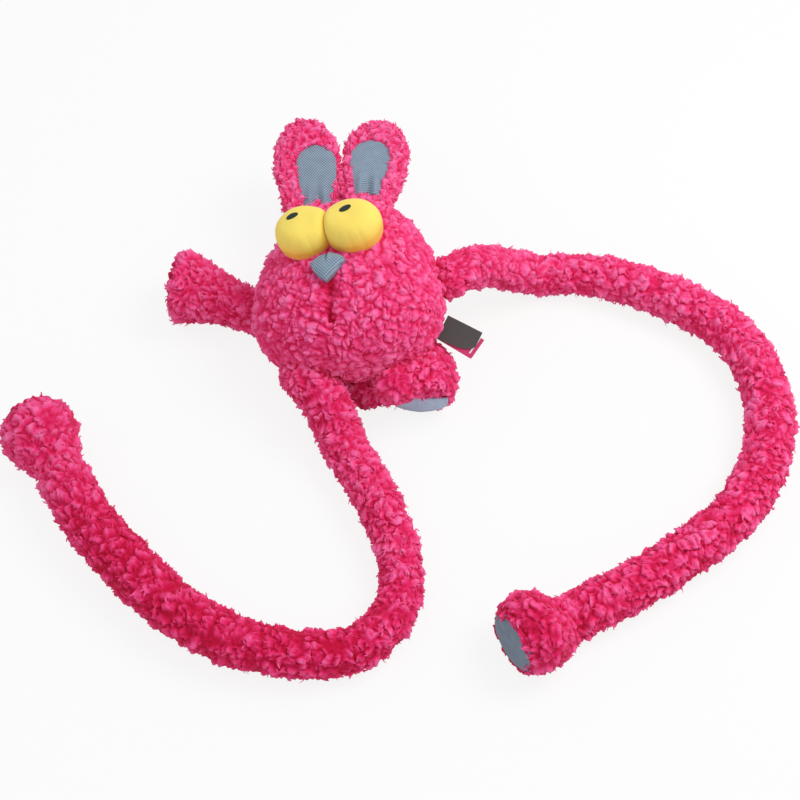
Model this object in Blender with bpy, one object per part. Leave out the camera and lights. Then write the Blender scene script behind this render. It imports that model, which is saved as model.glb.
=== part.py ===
# Plush squeaky toy for a dog: a round, curly-haired animal with one long arm, one long leg,
# one short arm and one short leg. It lies on its back with its head towards +Y.
# Metres, +Z up. The origin is on the floor under the lowest point of the body.
# Every size of a plush piece is taken over its curly pile.
import math

import bmesh
import bpy
from mathutils import Matrix, Vector

# Clearances, and the depth of the flat on which a soft piece lies
SEAM_GAP = 0.0003
BEND_GAP = 0.0009
REST_CUT = 0.0005
OVERRUN = 0.04

# Body: an egg with flattened sides, rolled to its right and turned a little
BODY_WIDTH = 0.156
BODY_LENGTH = 0.164
BODY_THICKNESS = 0.114
BODY_TAPER_SHARE = 0.19
PLUMPNESS = 2.3
BODY_ROLL = math.radians(15)
BODY_TURN = math.radians(-2.5)
PLUSH_WALL = 0.0045

# Face: two stuffed domes for eyes with a pupil on each, and a padded nose
EYE_WIDTH = 0.0485
EYE_HEIGHT = 0.0440
EYE_DEPTH = 0.0360
EYE_SPACING = 0.0385
EYE_HEIGHT_SHARE = 0.165
EYE_STANDOFF = 0.005
PUPIL_LENGTH = 0.0105
PUPIL_WIDTH = 0.0062
PUPIL_THICKNESS = 0.0008
LEFT_PUPIL_SIDEWAYS = -0.0050
RIGHT_PUPIL_SIDEWAYS = -0.0015
PUPIL_UPWARD = 0.0040
PUPIL_SLANT = math.radians(25)
NOSE_WIDTH = 0.027
NOSE_HEIGHT = 0.026
NOSE_THICKNESS = 0.006
NOSE_HEIGHT_SHARE = -0.232
NOSE_TOP_SHARE = 0.3
NOSE_BULGE_SHARE = 0.16
NOSE_EDGE_SHARE = 0.3

# Ears: flat stuffed petals with a woven lining let into the front
EAR_LENGTH = 0.099
EAR_WIDTH = 0.056
EAR_THICKNESS = 0.014
EAR_SPACING = 0.047
EAR_STANDOFF = 0.005
EAR_MIDDLE = -0.0125
EAR_FLARE = math.radians(5)
LEFT_EAR_TILT = math.radians(19)
RIGHT_EAR_TILT = math.radians(1)
EAR_BASE_SHARE = 0.62
EAR_WIDEST_SHARE = 0.58
EAR_SQUARENESS = 3
EAR_TIP_FULLNESS = 12
LINING_WIDTH_SHARE = 0.62
LINING_START_SHARE = 0.09
LINING_ARCH_SHARE = 0.72
LINING_END_SHARE = 0.73
LEFT_LINING_SHIFT_SHARE = -0.27
RIGHT_LINING_SHIFT_SHARE = 0.15
LINING_THICKNESS = 0.002
LINING_RECESS = 0.003

# Limbs: stuffed tubes whose root is a ball let into the body
ROOT_STANDOFF = 0.008
LONG_ARM_HEIGHT_SHARE = 0.098
SHORT_ARM_HEIGHT_SHARE = -0.024
ARM_ANGLE = math.radians(-6)
LONG_HIP_HEIGHT_SHARE = -0.951
LONG_HIP_ANGLE = math.radians(-27)
SHORT_HIP_HEIGHT_SHARE = -0.915
SHORT_HIP_ANGLE = math.radians(-44)
SECTION_COUNT = 6

LONG_ARM_RADIUS = 0.0195
LONG_ARM_REACH = 0.255
LONG_ARM_FALL = 0.270
LONG_ARM_SETTLE = 0.100
LONG_ARM_SWELL_SHARES = (0.92, 0.94, 1.01, 1.03, 1.02, 0.98, 0.98)
LONG_ARM_ROUTE_SHARES = (
    (0, 0), (0.17, 0.122), (0.36, 0.167), (0.55, 0.145), (0.75, 0.06), (0.895, -0.045),
    (0.97, -0.17), (1, -0.31), (0.985, -0.445), (0.935, -0.575), (0.84, -0.7),
    (0.71, -0.805), (0.535, -0.914), (0.315, -1.024),
)

LONG_LEG_RADIUS = 0.0195
LONG_LEG_REACH = 0.192
LONG_LEG_FALL = 0.211
LONG_LEG_SETTLE = 0.050
LONG_LEG_SWELL_SHARES = (1.04, 0.96, 0.9, 0.91, 1.03, 1.1, 1.08)
LONG_LEG_ROUTE_SHARES = (
    (0, 0), (0.115, -0.13), (0.22, -0.29), (0.31, -0.45), (0.375, -0.61), (0.39, -0.78),
    (0.315, -0.93), (0.16, -1.01), (-0.045, -1.01), (-0.255, -0.965), (-0.475, -0.85),
    (-0.68, -0.68), (-0.855, -0.5), (-1.005, -0.285),
)

# Paws at the ends of the long limbs, with a round pad on the end
PAW_RADIUS = 0.0295
PAW_LENGTH = 0.048
PAW_PROFILE_SHARES = (
    (0.3, 0.82), (0.42, 0.94), (0.56, 1), (0.72, 0.99), (0.85, 0.94), (0.94, 0.86), (1, 0.76),
)
PAD_SHARE = 0.76
PAD_THICKNESS = 0.0025

# Short arm and short leg: they flare towards a padded end
SHORT_ARM_RADIUS = 0.0185
SHORT_ARM_LENGTH = 0.073
SHORT_ARM_END_RADIUS = 0.0305
SHORT_ARM_HEADING = math.radians(155)
SHORT_ARM_PROFILE_SHARES = (
    (0.2, 0.62), (0.33, 0.66), (0.46, 0.72), (0.6, 0.81), (0.74, 0.93), (0.85, 1),
    (0.93, 0.97), (0.98, 0.88), (1, 0.78),
)
SHORT_LEG_RADIUS = 0.0195
SHORT_LEG_FOOT_RADIUS = 0.0300
SHORT_LEG_FOOT_LENGTH = 0.048
SHORT_LEG_REACH = 0.021
SHORT_LEG_TUCK = 0.026
SHORT_LEG_SLOPE = math.radians(-12)
SHORT_LEG_HEADING = math.radians(-92)
SHORT_LEG_HEEL_SHARE = 0.45
SHORT_LEG_SWING = math.radians(15)
SHORT_LEG_PROFILE_SHARES = (
    (0.2, 0.72), (0.35, 0.9), (0.5, 0.98), (0.68, 1), (0.85, 0.98), (0.95, 0.9), (1, 0.8),
)
BODY_NUDGE_GAP = 0.0009

# Sewn label: two plies that stand out of the side seam
LABEL_LENGTH = 0.029
LABEL_WIDTH = 0.021
LABEL_PLY = 0.0010
LABEL_STEP = 0.004
LABEL_CORNER = 0.006
LABEL_STANDOFF = 0.0001
LABEL_HEIGHT_SHARE = -0.415
LABEL_ANGLE = math.radians(-20)
LABEL_HEADING = math.radians(-18)
LABEL_PITCH = math.radians(-11)
LABEL_FACING = math.radians(60)

# Squeaker in the middle of the stuffing
SQUEAKER_RADIUS = 0.021
SQUEAKER_PLATE = 0.0028
SQUEAKER_FOLD_HEIGHT = 0.017
SQUEAKER_FOLD_DEPTH = 0.005
SQUEAKER_WALL = 0.0010
SQUEAKER_FOLDS = 3
REED_RADIUS = 0.0042
REED_LENGTH = 0.0085
REED_SLOT = 0.0012
REED_BOSS_WALL = 0.0022
POCKET_GAP = 0.0005
AIR_CHANNEL_RADIUS = 0.006

# Fineness of the meshes
BODY_SIDES = 28
BODY_RINGS = 14
LIMB_SIDES = 16
DOME_RINGS = 3
RING_SPACING = 0.019
ROUTE_STEPS = 24
BALL_SIDES = 24
BALL_RINGS = 12
TURNED_SIDES = 24
PATCH_RINGS = 3
PATCH_SIDES = 18
NOSE_SIDE_STEPS = 6
CORNER_STEPS = 4
EAR_SIDES = 16
EAR_RINGS = 9

UP = Vector((0, 0, 1))


def clear_scene():
    for item in list(bpy.data.objects):
        bpy.data.objects.remove(item, do_unlink=True)


def fabric(name, colour, roughness):
    material = bpy.data.materials.new(name)
    material.use_nodes = True
    shader = material.node_tree.nodes["Principled BSDF"]
    shader.inputs["Base Color"].default_value = (*colour, 1)
    shader.inputs["Roughness"].default_value = roughness
    shader.inputs["Metallic"].default_value = 0
    return material


def pivot(name, point, parent=None):
    # An empty on a joint's axis; its children are placed from it.
    empty = bpy.data.objects.new(name, None)
    empty["point"] = tuple(point)
    empty.parent = parent
    empty.location = Vector(point) - (Vector(parent["point"]) if parent else Vector())
    bpy.context.scene.collection.objects.link(empty)
    return empty


def solid(name, mesh_data, material=None, carrier=None):
    # One closed piece from a bmesh in world coordinates, hung on its carrier's axis.
    start = Vector(carrier["point"]) if carrier else Vector()
    bmesh.ops.recalc_face_normals(mesh_data, faces=mesh_data.faces)
    bmesh.ops.translate(mesh_data, verts=mesh_data.verts, vec=-start)
    mesh = bpy.data.meshes.new(name)
    mesh_data.to_mesh(mesh)
    mesh_data.free()
    mesh.shade_smooth()
    mesh.set_sharp_from_angle(angle=math.radians(50))
    item = bpy.data.objects.new(name, mesh)
    item.parent = carrier
    bpy.context.scene.collection.objects.link(item)
    if material:
        mesh.materials.append(material)
    else:
        item.hide_render = True
        item.display_type = "WIRE"
    return item


def cut(item, cutter, operation="DIFFERENCE"):
    modifier = item.modifiers.new(cutter.name, "BOOLEAN")
    modifier.solver = "EXACT"
    modifier.operation = operation
    modifier.object = cutter
    return item


def frame(direction, facing, origin):
    # Axes with X along the direction, and Z as near to the facing direction as X allows.
    x = Vector(direction).normalized()
    y = Vector(facing).cross(x).normalized()
    z = x.cross(y)
    return Matrix.Translation(origin) @ Matrix((x, y, z)).transposed().to_4x4()


def heading_vector(heading, pitch=0):
    return Vector(
        (math.cos(heading) * math.cos(pitch), math.sin(heading) * math.cos(pitch), math.sin(pitch))
    )


def loft(rings):
    # A closed solid through rings of points, with a flat cap on its first and last ring.
    mesh_data = bmesh.new()
    loops = [[mesh_data.verts.new(point) for point in ring] for ring in rings]
    for low, high in zip(loops, loops[1:]):
        for index in range(len(low)):
            after = (index + 1) % len(low)
            mesh_data.faces.new((low[index], low[after], high[after], high[index]))
    mesh_data.faces.new(reversed(loops[0]))
    mesh_data.faces.new(loops[-1])
    return mesh_data


def circle(centre, direction, radius, sides=LIMB_SIDES):
    axes = frame(direction, UP, centre)
    return [
        axes @ Vector((0, radius * math.cos(angle), radius * math.sin(angle)))
        for angle in (math.tau * (index + 1 / 2) / sides for index in range(sides))
    ]


def ball_rings(centre, direction, radius, angles):
    # Rings on a ball; an angle is counted from the direction.
    return [
        circle(centre + direction * radius * math.cos(angle), direction, radius * math.sin(angle))
        for angle in angles
    ]


def dome_angles():
    return [math.pi / 2 * (index + 1 / 3) / DOME_RINGS for index in range(DOME_RINGS)]


def front_dome(centre, way, radius):
    return ball_rings(centre, way, radius, reversed(dome_angles()))


def back_dome(centre, way, radius):
    return ball_rings(centre, way, radius, (math.pi - angle for angle in dome_angles()))


def split_off(mesh_data, point, direction):
    # Cuts off what lies past a plane and closes the cut.
    geometry = mesh_data.verts[:] + mesh_data.edges[:] + mesh_data.faces[:]
    bmesh.ops.bisect_plane(
        mesh_data, geom=geometry, plane_co=point, plane_no=direction, clear_outer=True
    )
    edges = [edge for edge in mesh_data.edges if edge.is_boundary]
    if edges:
        bmesh.ops.holes_fill(mesh_data, edges=edges, sides=0)
    return mesh_data


def lay_flat(mesh_data):
    # Cuts off what is below the floor, so that the piece lies on a flat.
    return split_off(mesh_data, (0, 0, 0), -UP)


def power(value):
    return math.copysign(abs(value) ** (2 / PLUMPNESS), value)


def body_point(latitude, angle, outset=0):
    # A point of the body's surface in its own axes: X side, Y head, Z front.
    height = BODY_LENGTH / 2 + outset
    narrowing = 1 - BODY_TAPER_SHARE * power(math.sin(latitude))
    return Vector(
        (
            (BODY_WIDTH / 2 * narrowing + outset) * power(math.cos(latitude)) * power(math.cos(angle)),
            height * power(math.sin(latitude)),
            (BODY_THICKNESS / 2 + outset) * power(math.cos(latitude)) * power(math.sin(angle)),
        )
    )


def body_grid(outset):
    latitudes = [math.pi * (index + 1 / 2) / BODY_RINGS - math.pi / 2 for index in range(BODY_RINGS)]
    angles = [math.tau * index / BODY_SIDES for index in range(BODY_SIDES)]
    return [[body_point(latitude, angle, outset) for angle in angles] for latitude in latitudes]


def body_axes():
    # The body's axes, with its lowest point just under the origin.
    turned = Matrix.Rotation(BODY_TURN, 4, "Z") @ Matrix.Rotation(-BODY_ROLL, 4, "Y")
    points = (turned @ point for ring in body_grid(0) for point in ring)
    lowest = min(points, key=lambda point: point.z)
    return Matrix.Translation(-lowest - REST_CUT * UP) @ turned


BODY = body_axes()
MIDDLE = BODY.translation


def egg(outset=0):
    return loft([[BODY @ point for point in ring] for ring in body_grid(outset)])


def unbend(share):
    # The sine or cosine whose power is the share.
    return math.copysign(abs(share) ** (PLUMPNESS / 2), share)


def surface(height_share, angle, outset=0):
    # A point over the body's surface, in the world.
    point = body_point(math.asin(unbend(height_share)), angle)
    shape = (BODY_WIDTH / 2, BODY_LENGTH / 2, BODY_THICKNESS / 2)
    slope = [
        math.copysign(abs(value / half) ** (PLUMPNESS - 1) / half, value)
        for value, half in zip(point, shape)
    ]
    normal = (BODY.to_3x3() @ Vector(slope)).normalized()
    return BODY @ point + normal * outset


def front_point(side, height, outset=0):
    # A point over the body's front, so far to the side and so high over its middle.
    height_share = height / (BODY_LENGTH / 2)
    half_width = body_point(math.asin(unbend(height_share)), 0).x
    return surface(height_share, math.acos(unbend(side / half_width)), outset)


def ball(name, centre, radius):
    mesh_data = bmesh.new()
    bmesh.ops.create_uvsphere(
        mesh_data, u_segments=BALL_SIDES, v_segments=BALL_RINGS, radius=radius,
        matrix=Matrix.Translation(centre),
    )
    return solid(name, mesh_data)


def block(name, axes, low, high):
    mesh_data = bmesh.new()
    size = Vector(high) - Vector(low)
    middle = (Vector(high) + Vector(low)) / 2
    bmesh.ops.create_cube(
        mesh_data, size=1, matrix=axes @ Matrix.Translation(middle) @ Matrix.Diagonal((*size, 1))
    )
    return solid(name, mesh_data)


def rod(axes, radius, start, end, end_radius=None):
    # A plain cylinder, or a cone, along the X axis of the given axes.
    mesh_data = bmesh.new()
    place = axes @ Matrix.Translation((start / 2 + end / 2, 0, 0)) @ Matrix.Rotation(math.pi / 2, 4, "Y")
    bmesh.ops.create_cone(
        mesh_data, cap_ends=True, segments=TURNED_SIDES, radius1=radius,
        radius2=radius if end_radius is None else end_radius, depth=end - start, matrix=place,
    )
    return mesh_data


def upright(height=0):
    # Axes on the squeaker's axis with X up.
    return Matrix.Translation((MIDDLE.x, MIDDLE.y, height)) @ Matrix.Rotation(-math.pi / 2, 4, "Y")


def patch(outline, lift, back_rings=1):
    # A padded patch: the outline shrinks to its middle over a surface given by lift, which
    # places a flat point at a share of the thickness. A share of -1 is the underside.
    middle = sum(outline, Vector((0, 0))) / len(outline)
    shells = []
    for index in range(PATCH_RINGS):
        angle = math.pi / 2 * (index + 1) / PATCH_RINGS
        shells.append([lift(middle.lerp(point, math.sin(angle)), math.cos(angle)) for point in outline])
    for index in range(back_rings, 0, -1):
        shells.append([lift(middle.lerp(point, index / back_rings), -1) for point in outline])
    return loft(shells)


def oval(length, width, slant=0):
    turn = Matrix.Rotation(slant, 2)
    return [
        turn @ Vector((length / 2 * math.cos(angle), width / 2 * math.sin(angle)))
        for angle in (math.tau * index / PATCH_SIDES for index in range(PATCH_SIDES))
    ]


# Routes of the limbs over the floor
def smooth_route(corners):
    # A dense smooth curve through the given points.
    padded = [2 * corners[0] - corners[1], *corners, 2 * corners[-1] - corners[-2]]
    route = []
    for before, start, end, after in zip(padded, padded[1:], padded[2:], padded[3:]):
        for step in range(ROUTE_STEPS):
            share = step / ROUTE_STEPS
            route.append(
                start
                + (end - before) * share / 2
                + (2 * before - 5 * start + 4 * end - after) * share**2 / 2
                + (3 * start - before - 3 * end + after) * share**3 / 2
            )
    return route + [corners[-1]]


class Limb:
    # A stuffed tube that comes down from its root to the floor and then lies on it.

    def __init__(self, root, reach, fall, settle, radius, swell_shares, route_shares):
        flat_root = Vector((root.x, root.y))
        corners = [flat_root + Vector((x * reach, y * fall)) for x, y in route_shares]
        self.route = smooth_route(corners)
        self.marks = [0]
        for start, end in zip(self.route, self.route[1:]):
            self.marks.append(self.marks[-1] + (end - start).length)
        self.root_height = root.z
        self.settle = settle
        self.swell = [radius * share for share in swell_shares]

    def radius(self, along):
        place = min(max(along / self.marks[-1], 0), 1) * (len(self.swell) - 1)
        index = min(int(place), len(self.swell) - 2)
        share = place - index
        blend = share * share * (3 - 2 * share)
        return self.swell[index] * (1 - blend) + self.swell[index + 1] * blend

    def centre(self, along):
        along = min(max(along, 0), self.marks[-1])
        index = max(i for i, mark in enumerate(self.marks[:-1]) if mark <= along)
        step = self.marks[index + 1] - self.marks[index]
        flat = self.route[index].lerp(self.route[index + 1], (along - self.marks[index]) / step)
        share = min(along / self.settle, 1)
        blend = share * share * (3 - 2 * share)
        floor_height = self.radius(along) - REST_CUT
        return Vector((*flat, self.root_height * (1 - blend) + floor_height * blend))

    def direction(self, along):
        step = RING_SPACING / ROUTE_STEPS
        return (self.centre(along + step) - self.centre(along - step)).normalized()

    def joint_mark(self, index):
        return self.marks[-1] * index / SECTION_COUNT


def section_rings(limb, index):
    # Rings of one stuffed length, from its socket or root ball to the ball at its far end.
    start, end = limb.joint_mark(index), limb.joint_mark(index + 1)
    near, far = limb.centre(start), limb.centre(end)
    near_way, far_way = limb.direction(start), limb.direction(end)
    near_radius, far_radius = limb.radius(start), limb.radius(end)
    if index == 0:
        rings = back_dome(near, near_way, near_radius)
        rings.append(circle(near, near_way, near_radius))
        first = start
    else:
        rings, rim = socket_rings(near, near_way, near_radius)
        first = start + rim
    count = max(2, round((end - first) / RING_SPACING))
    for step in range(1, count):
        along = first + (end - first) * step / count
        rings.append(circle(limb.centre(along), limb.direction(along), limb.radius(along)))
    rings.append(circle(far, far_way, far_radius))
    rings += front_dome(far, far_way, far_radius)
    return rings


def socket_rings(centre, way, radius):
    # A hollow for a ball, out to the rim where it meets the tube's own radius.
    hollow = radius + BEND_GAP
    rim_angle = math.asin(radius / hollow)
    angles = [rim_angle * (index + 1 / 3) / DOME_RINGS for index in range(DOME_RINGS)]
    rings = ball_rings(centre, way, hollow, [*angles, rim_angle])
    return rings, hollow * math.cos(rim_angle)


def paw_rings(limb):
    # Rings of a paw: a socket on the wrist, a swelling that lies on the floor, and a round end.
    wrist = limb.centre(limb.marks[-1])
    way = limb.direction(limb.marks[-1])
    way = Vector((way.x, way.y, 0)).normalized()
    rings, rim = socket_rings(wrist, way, limb.radius(limb.marks[-1]))
    widest = max(PAW_PROFILE_SHARES, key=lambda entry: entry[1])[0]
    for along, share in PAW_PROFILE_SHARES:
        radius = PAW_RADIUS * share
        lift = radius if along < widest else PAW_RADIUS
        centre = wrist + way * PAW_LENGTH * along
        centre.z = max(lift, limb.radius(limb.marks[-1])) - REST_CUT
        rings.append(circle(centre, way, radius))
    end = wrist + way * PAW_LENGTH
    end.z = PAW_RADIUS - REST_CUT
    return rings, end, way


def pad_on_end(end, way, radius):
    # A round pad that lies on a flat end and swells a little.
    axes = frame(way, UP, end)

    def lift(point, height):
        if height < 0:
            return axes @ Vector((SEAM_GAP, *point))
        return axes @ Vector((SEAM_GAP + PAD_THICKNESS * (1 + height) / 2, *point))

    return patch(oval(2 * radius, 2 * radius), lift)


def clear_body(item, root, radius, body_cutter):
    # Dents a limb where it leans on the body, and leaves its root ball whole.
    cut(item, body_cutter)
    cut(item, ball(f"{item.name}_root_ball", root, radius), "UNION")


def make_limb(name, limb, carrier, plush, woven, body_cutter):
    for index in range(SECTION_COUNT):
        carrier = pivot(f"{name}_pivot_{index + 1}", limb.centre(limb.joint_mark(index)), carrier)
        mesh_data = lay_flat(loft(section_rings(limb, index)))
        section = solid(f"{name}_section_{index + 1}", mesh_data, plush, carrier)
        if index == 0:
            clear_body(section, limb.centre(0), limb.radius(0), body_cutter)
    carrier = pivot(f"{name}_paw_pivot", limb.centre(limb.marks[-1]), carrier)
    rings, end, way = paw_rings(limb)
    solid(f"{name}_paw", lay_flat(loft(rings)), plush, carrier)
    end_radius = PAW_RADIUS * PAW_PROFILE_SHARES[-1][1]
    solid(f"{name}_pad", pad_on_end(end, way, min(PAW_RADIUS * PAD_SHARE, end_radius)), woven, carrier)


def make_short_arm(root, carrier, plush, woven):
    carrier = pivot("short_arm_pivot", root, carrier)
    end = root + heading_vector(SHORT_ARM_HEADING) * SHORT_ARM_LENGTH
    end.z = SHORT_ARM_END_RADIUS - REST_CUT
    way = (end - root).normalized()
    rings = back_dome(root, way, SHORT_ARM_RADIUS)
    rings.append(circle(root, way, SHORT_ARM_RADIUS))
    for along, share in SHORT_ARM_PROFILE_SHARES:
        rings.append(circle(root.lerp(end, along), way, SHORT_ARM_END_RADIUS * share))
    solid("short_arm", lay_flat(loft(rings)), plush, carrier)
    end_radius = SHORT_ARM_END_RADIUS * SHORT_ARM_PROFILE_SHARES[-1][1]
    radius = min(SHORT_ARM_END_RADIUS * PAD_SHARE, end_radius)
    solid("short_arm_pad", pad_on_end(end, way, radius), woven, carrier)


def make_short_leg(root, carrier, plush, woven, body_cutter, floor_guide):
    # A thigh down from the hip, and a foot that lies under it with its sole turned outwards.
    carrier = pivot("short_leg_pivot", root, carrier)
    heel = root + Vector((SHORT_LEG_REACH, SHORT_LEG_TUCK, 0))
    heel.z = SHORT_LEG_FOOT_RADIUS - REST_CUT
    thigh_way = (heel - root).normalized()
    rings = back_dome(root, thigh_way, SHORT_LEG_RADIUS)
    rings.append(circle(root, thigh_way, SHORT_LEG_RADIUS))
    rings.append(circle(heel, thigh_way, SHORT_LEG_RADIUS))
    rings += front_dome(heel, thigh_way, SHORT_LEG_RADIUS)
    thigh = solid("short_leg_thigh_guide", loft(rings))
    way = heading_vector(SHORT_LEG_HEADING, SHORT_LEG_SLOPE)
    start = heel - way * SHORT_LEG_FOOT_LENGTH * SHORT_LEG_HEEL_SHARE
    end = start + way * SHORT_LEG_FOOT_LENGTH
    rings = [circle(start, way, SHORT_LEG_FOOT_RADIUS * SHORT_LEG_HEEL_SHARE)]
    for along, share in SHORT_LEG_PROFILE_SHARES:
        rings.append(circle(start.lerp(end, along), way, SHORT_LEG_FOOT_RADIUS * share))
    leg = solid("short_leg", loft(rings), plush, carrier)
    cut(leg, thigh, "UNION")
    # The body as the leg meets it at the end of its swing
    swing = Matrix.Translation(root) @ Matrix.Rotation(SHORT_LEG_SWING, 4, "Z") @ Matrix.Translation(-root)
    swung_body = egg(BODY_NUDGE_GAP)
    bmesh.ops.transform(swung_body, matrix=swing, verts=swung_body.verts)
    cut(leg, solid("body_swing_guide", swung_body))
    clear_body(leg, root, SHORT_LEG_RADIUS, body_cutter)
    cut(leg, floor_guide)
    end_radius = SHORT_LEG_FOOT_RADIUS * SHORT_LEG_PROFILE_SHARES[-1][1]
    radius = min(SHORT_LEG_FOOT_RADIUS * PAD_SHARE, end_radius)
    sole_guide = rod(frame(way, UP, end), radius + 2 * SEAM_GAP, 0, OVERRUN)
    cut(leg, solid("short_leg_sole_guide", sole_guide))
    solid("short_leg_pad", pad_on_end(end, way, radius), woven, carrier)


# Ears
def ear_half_width(share):
    if share < EAR_WIDEST_SHARE:
        rise = math.sin(math.pi / 2 * share / EAR_WIDEST_SHARE)
        return EAR_WIDTH / 2 * (EAR_BASE_SHARE + (1 - EAR_BASE_SHARE) * rise)
    fall = (share - EAR_WIDEST_SHARE) / (1 - EAR_WIDEST_SHARE)
    return EAR_WIDTH / 2 * math.sqrt(max(0, 1 - fall * fall))


def ear_ring(axes, along, half_width, half_thickness):
    points = []
    for index in range(EAR_SIDES):
        angle = math.tau * index / EAR_SIDES
        side = math.copysign(abs(math.cos(angle)) ** (2 / EAR_SQUARENESS), math.cos(angle))
        face = math.copysign(abs(math.sin(angle)) ** (2 / EAR_SQUARENESS), math.sin(angle))
        points.append(axes @ Vector((along, half_width * side, half_thickness * face)))
    return points


def ear_shape(axes):
    half = EAR_THICKNESS / 2
    rings = []
    for angle in dome_angles():
        rings.append(
            ear_ring(axes, -half * math.cos(angle), ear_half_width(0), half * math.sin(angle))
        )
    tip_angles = [math.pi / 2 * index / EAR_RINGS for index in range(EAR_RINGS)]
    for angle in tip_angles:
        share = math.sin(angle)
        thinning = math.sqrt(max(0, 1 - share**EAR_TIP_FULLNESS))
        rings.append(ear_ring(axes, EAR_LENGTH * share, ear_half_width(share), half * thinning))
    return loft(rings)


def lining_outline(shift_share, margin=0):
    # The lining's flat outline: it follows the ear's own edge up to a round arch, nearer to the other ear.
    start, end = EAR_LENGTH * LINING_START_SHARE, EAR_LENGTH * LINING_END_SHARE
    left, right = [], []
    for index in range(EAR_RINGS):
        share = math.sin(math.pi / 2 * index / (EAR_RINGS - 1))
        along = start + (end - start) * share
        fall = max(0, share - LINING_ARCH_SHARE) / (1 - LINING_ARCH_SHARE)
        ear_half = ear_half_width(along / EAR_LENGTH)
        half = ear_half * LINING_WIDTH_SHARE * math.sqrt(max(0, 1 - fall * fall))
        right.append(Vector((along, ear_half * shift_share + half)))
        left.append(Vector((along, ear_half * shift_share - half)))
    middle = (start + end) / 2
    middle = Vector((middle, ear_half_width(middle / EAR_LENGTH) * shift_share))
    outline = right + left[-2::-1]
    return [point + (point - middle).normalized() * margin for point in outline]


def plate(axes, outline, low, high):
    rings = [[axes @ Vector((*point, height)) for point in outline] for height in (low, high)]
    return loft(rings)


def make_ear(side_name, side, tilt, shift_share, carrier, plush, woven, body_items):
    place = EAR_MIDDLE + side * EAR_SPACING / 2
    latitude = math.acos(unbend(abs(place) / (BODY_WIDTH / 2 * (1 - BODY_TAPER_SHARE))))
    root = surface(power(math.sin(latitude)), 0 if place > 0 else math.pi, EAR_STANDOFF)
    lean = math.pi / 2 - side * EAR_FLARE
    way = heading_vector(lean, tilt)
    facing = heading_vector(lean, tilt + math.pi / 2)
    axes = frame(way, facing, root)
    carrier = pivot(f"{side_name}_ear_pivot", root, carrier)
    ear = solid(f"{side_name}_ear", ear_shape(axes), plush, carrier)
    face = EAR_THICKNESS / 2
    recess = solid(
        f"{side_name}_ear_recess",
        plate(axes, lining_outline(shift_share, SEAM_GAP), face - LINING_RECESS, face + OVERRUN),
    )
    cut(ear, recess)
    low = face - LINING_RECESS + SEAM_GAP
    lining = plate(axes, lining_outline(shift_share), low, low + LINING_THICKNESS)
    solid(f"{side_name}_ear_lining", lining, woven, carrier)
    across = frame(axes.to_3x3() @ Vector((0, 1, 0)), way, root)
    half_width = ear_half_width(0) + BEND_GAP
    groove = rod(across, EAR_THICKNESS / 2 + BEND_GAP, -half_width, half_width)
    groove = solid(f"{side_name}_ear_groove", groove)
    for item in body_items:
        cut(item, groove)


# Face
def eye_shape(centre, margin=0):
    # A stuffed dome in the body's axes, as mesh data.
    mesh_data = bmesh.new()
    size = (EYE_WIDTH / 2 + margin, EYE_HEIGHT / 2 + margin, EYE_DEPTH / 2 + margin)
    axes = Matrix.Translation(centre) @ BODY.to_3x3().to_4x4() @ Matrix.Diagonal((*size, 1))
    bmesh.ops.create_uvsphere(
        mesh_data, u_segments=BALL_SIDES, v_segments=BALL_RINGS, radius=1, matrix=axes
    )
    return mesh_data


def make_eye(side_name, side, pupil_sideways, carrier, yellow, dark, body_cutter):
    turn = BODY.to_3x3()
    centre = front_point(side * EYE_SPACING / 2, BODY_LENGTH / 2 * EYE_HEIGHT_SHARE, EYE_STANDOFF)
    seam = BODY @ Vector((side * SEAM_GAP / 2, 0, 0))
    mesh_data = split_off(eye_shape(centre), seam, turn @ Vector((-side, 0, 0)))
    eye = solid(f"{side_name}_eye", mesh_data, yellow, carrier)
    cut(eye, body_cutter)

    aim = Vector((pupil_sideways, PUPIL_UPWARD, EYE_DEPTH / 2)).normalized()
    across = Vector((0, 1, 0)).cross(aim).normalized()
    upward = aim.cross(across)
    half_size = (EYE_WIDTH / 2, EYE_HEIGHT / 2, EYE_DEPTH / 2)

    def lift(point, height):
        way = (aim * EYE_DEPTH / 2 + across * point.x + upward * point.y).normalized()
        reach = 1 / math.sqrt(sum((part / half) ** 2 for part, half in zip(way, half_size)))
        thickness = SEAM_GAP if height < 0 else SEAM_GAP + PUPIL_THICKNESS * (1 + height) / 2
        return centre + turn @ way * (reach + thickness)

    outline = oval(PUPIL_LENGTH, PUPIL_WIDTH, PUPIL_SLANT)
    solid(f"{side_name}_pupil", patch(outline, lift, PATCH_RINGS - 1), dark, carrier)
    return centre


def nose_outline():
    # A triangle with bowed sides that stands on its tip.
    corners = [
        Vector((-NOSE_WIDTH / 2, NOSE_HEIGHT * NOSE_TOP_SHARE)),
        Vector((0, -NOSE_HEIGHT / 2)),
        Vector((NOSE_WIDTH / 2, NOSE_HEIGHT * NOSE_TOP_SHARE)),
    ]
    outline = []
    for start, end in zip(corners, corners[1:] + corners[:1]):
        middle = (start + end) / 2
        bulge = middle.normalized() * NOSE_HEIGHT * NOSE_BULGE_SHARE
        for step in range(NOSE_SIDE_STEPS):
            share = step / NOSE_SIDE_STEPS
            outline.append(start.lerp(end, share) + bulge * 4 * share * (1 - share))
    return outline


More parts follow.
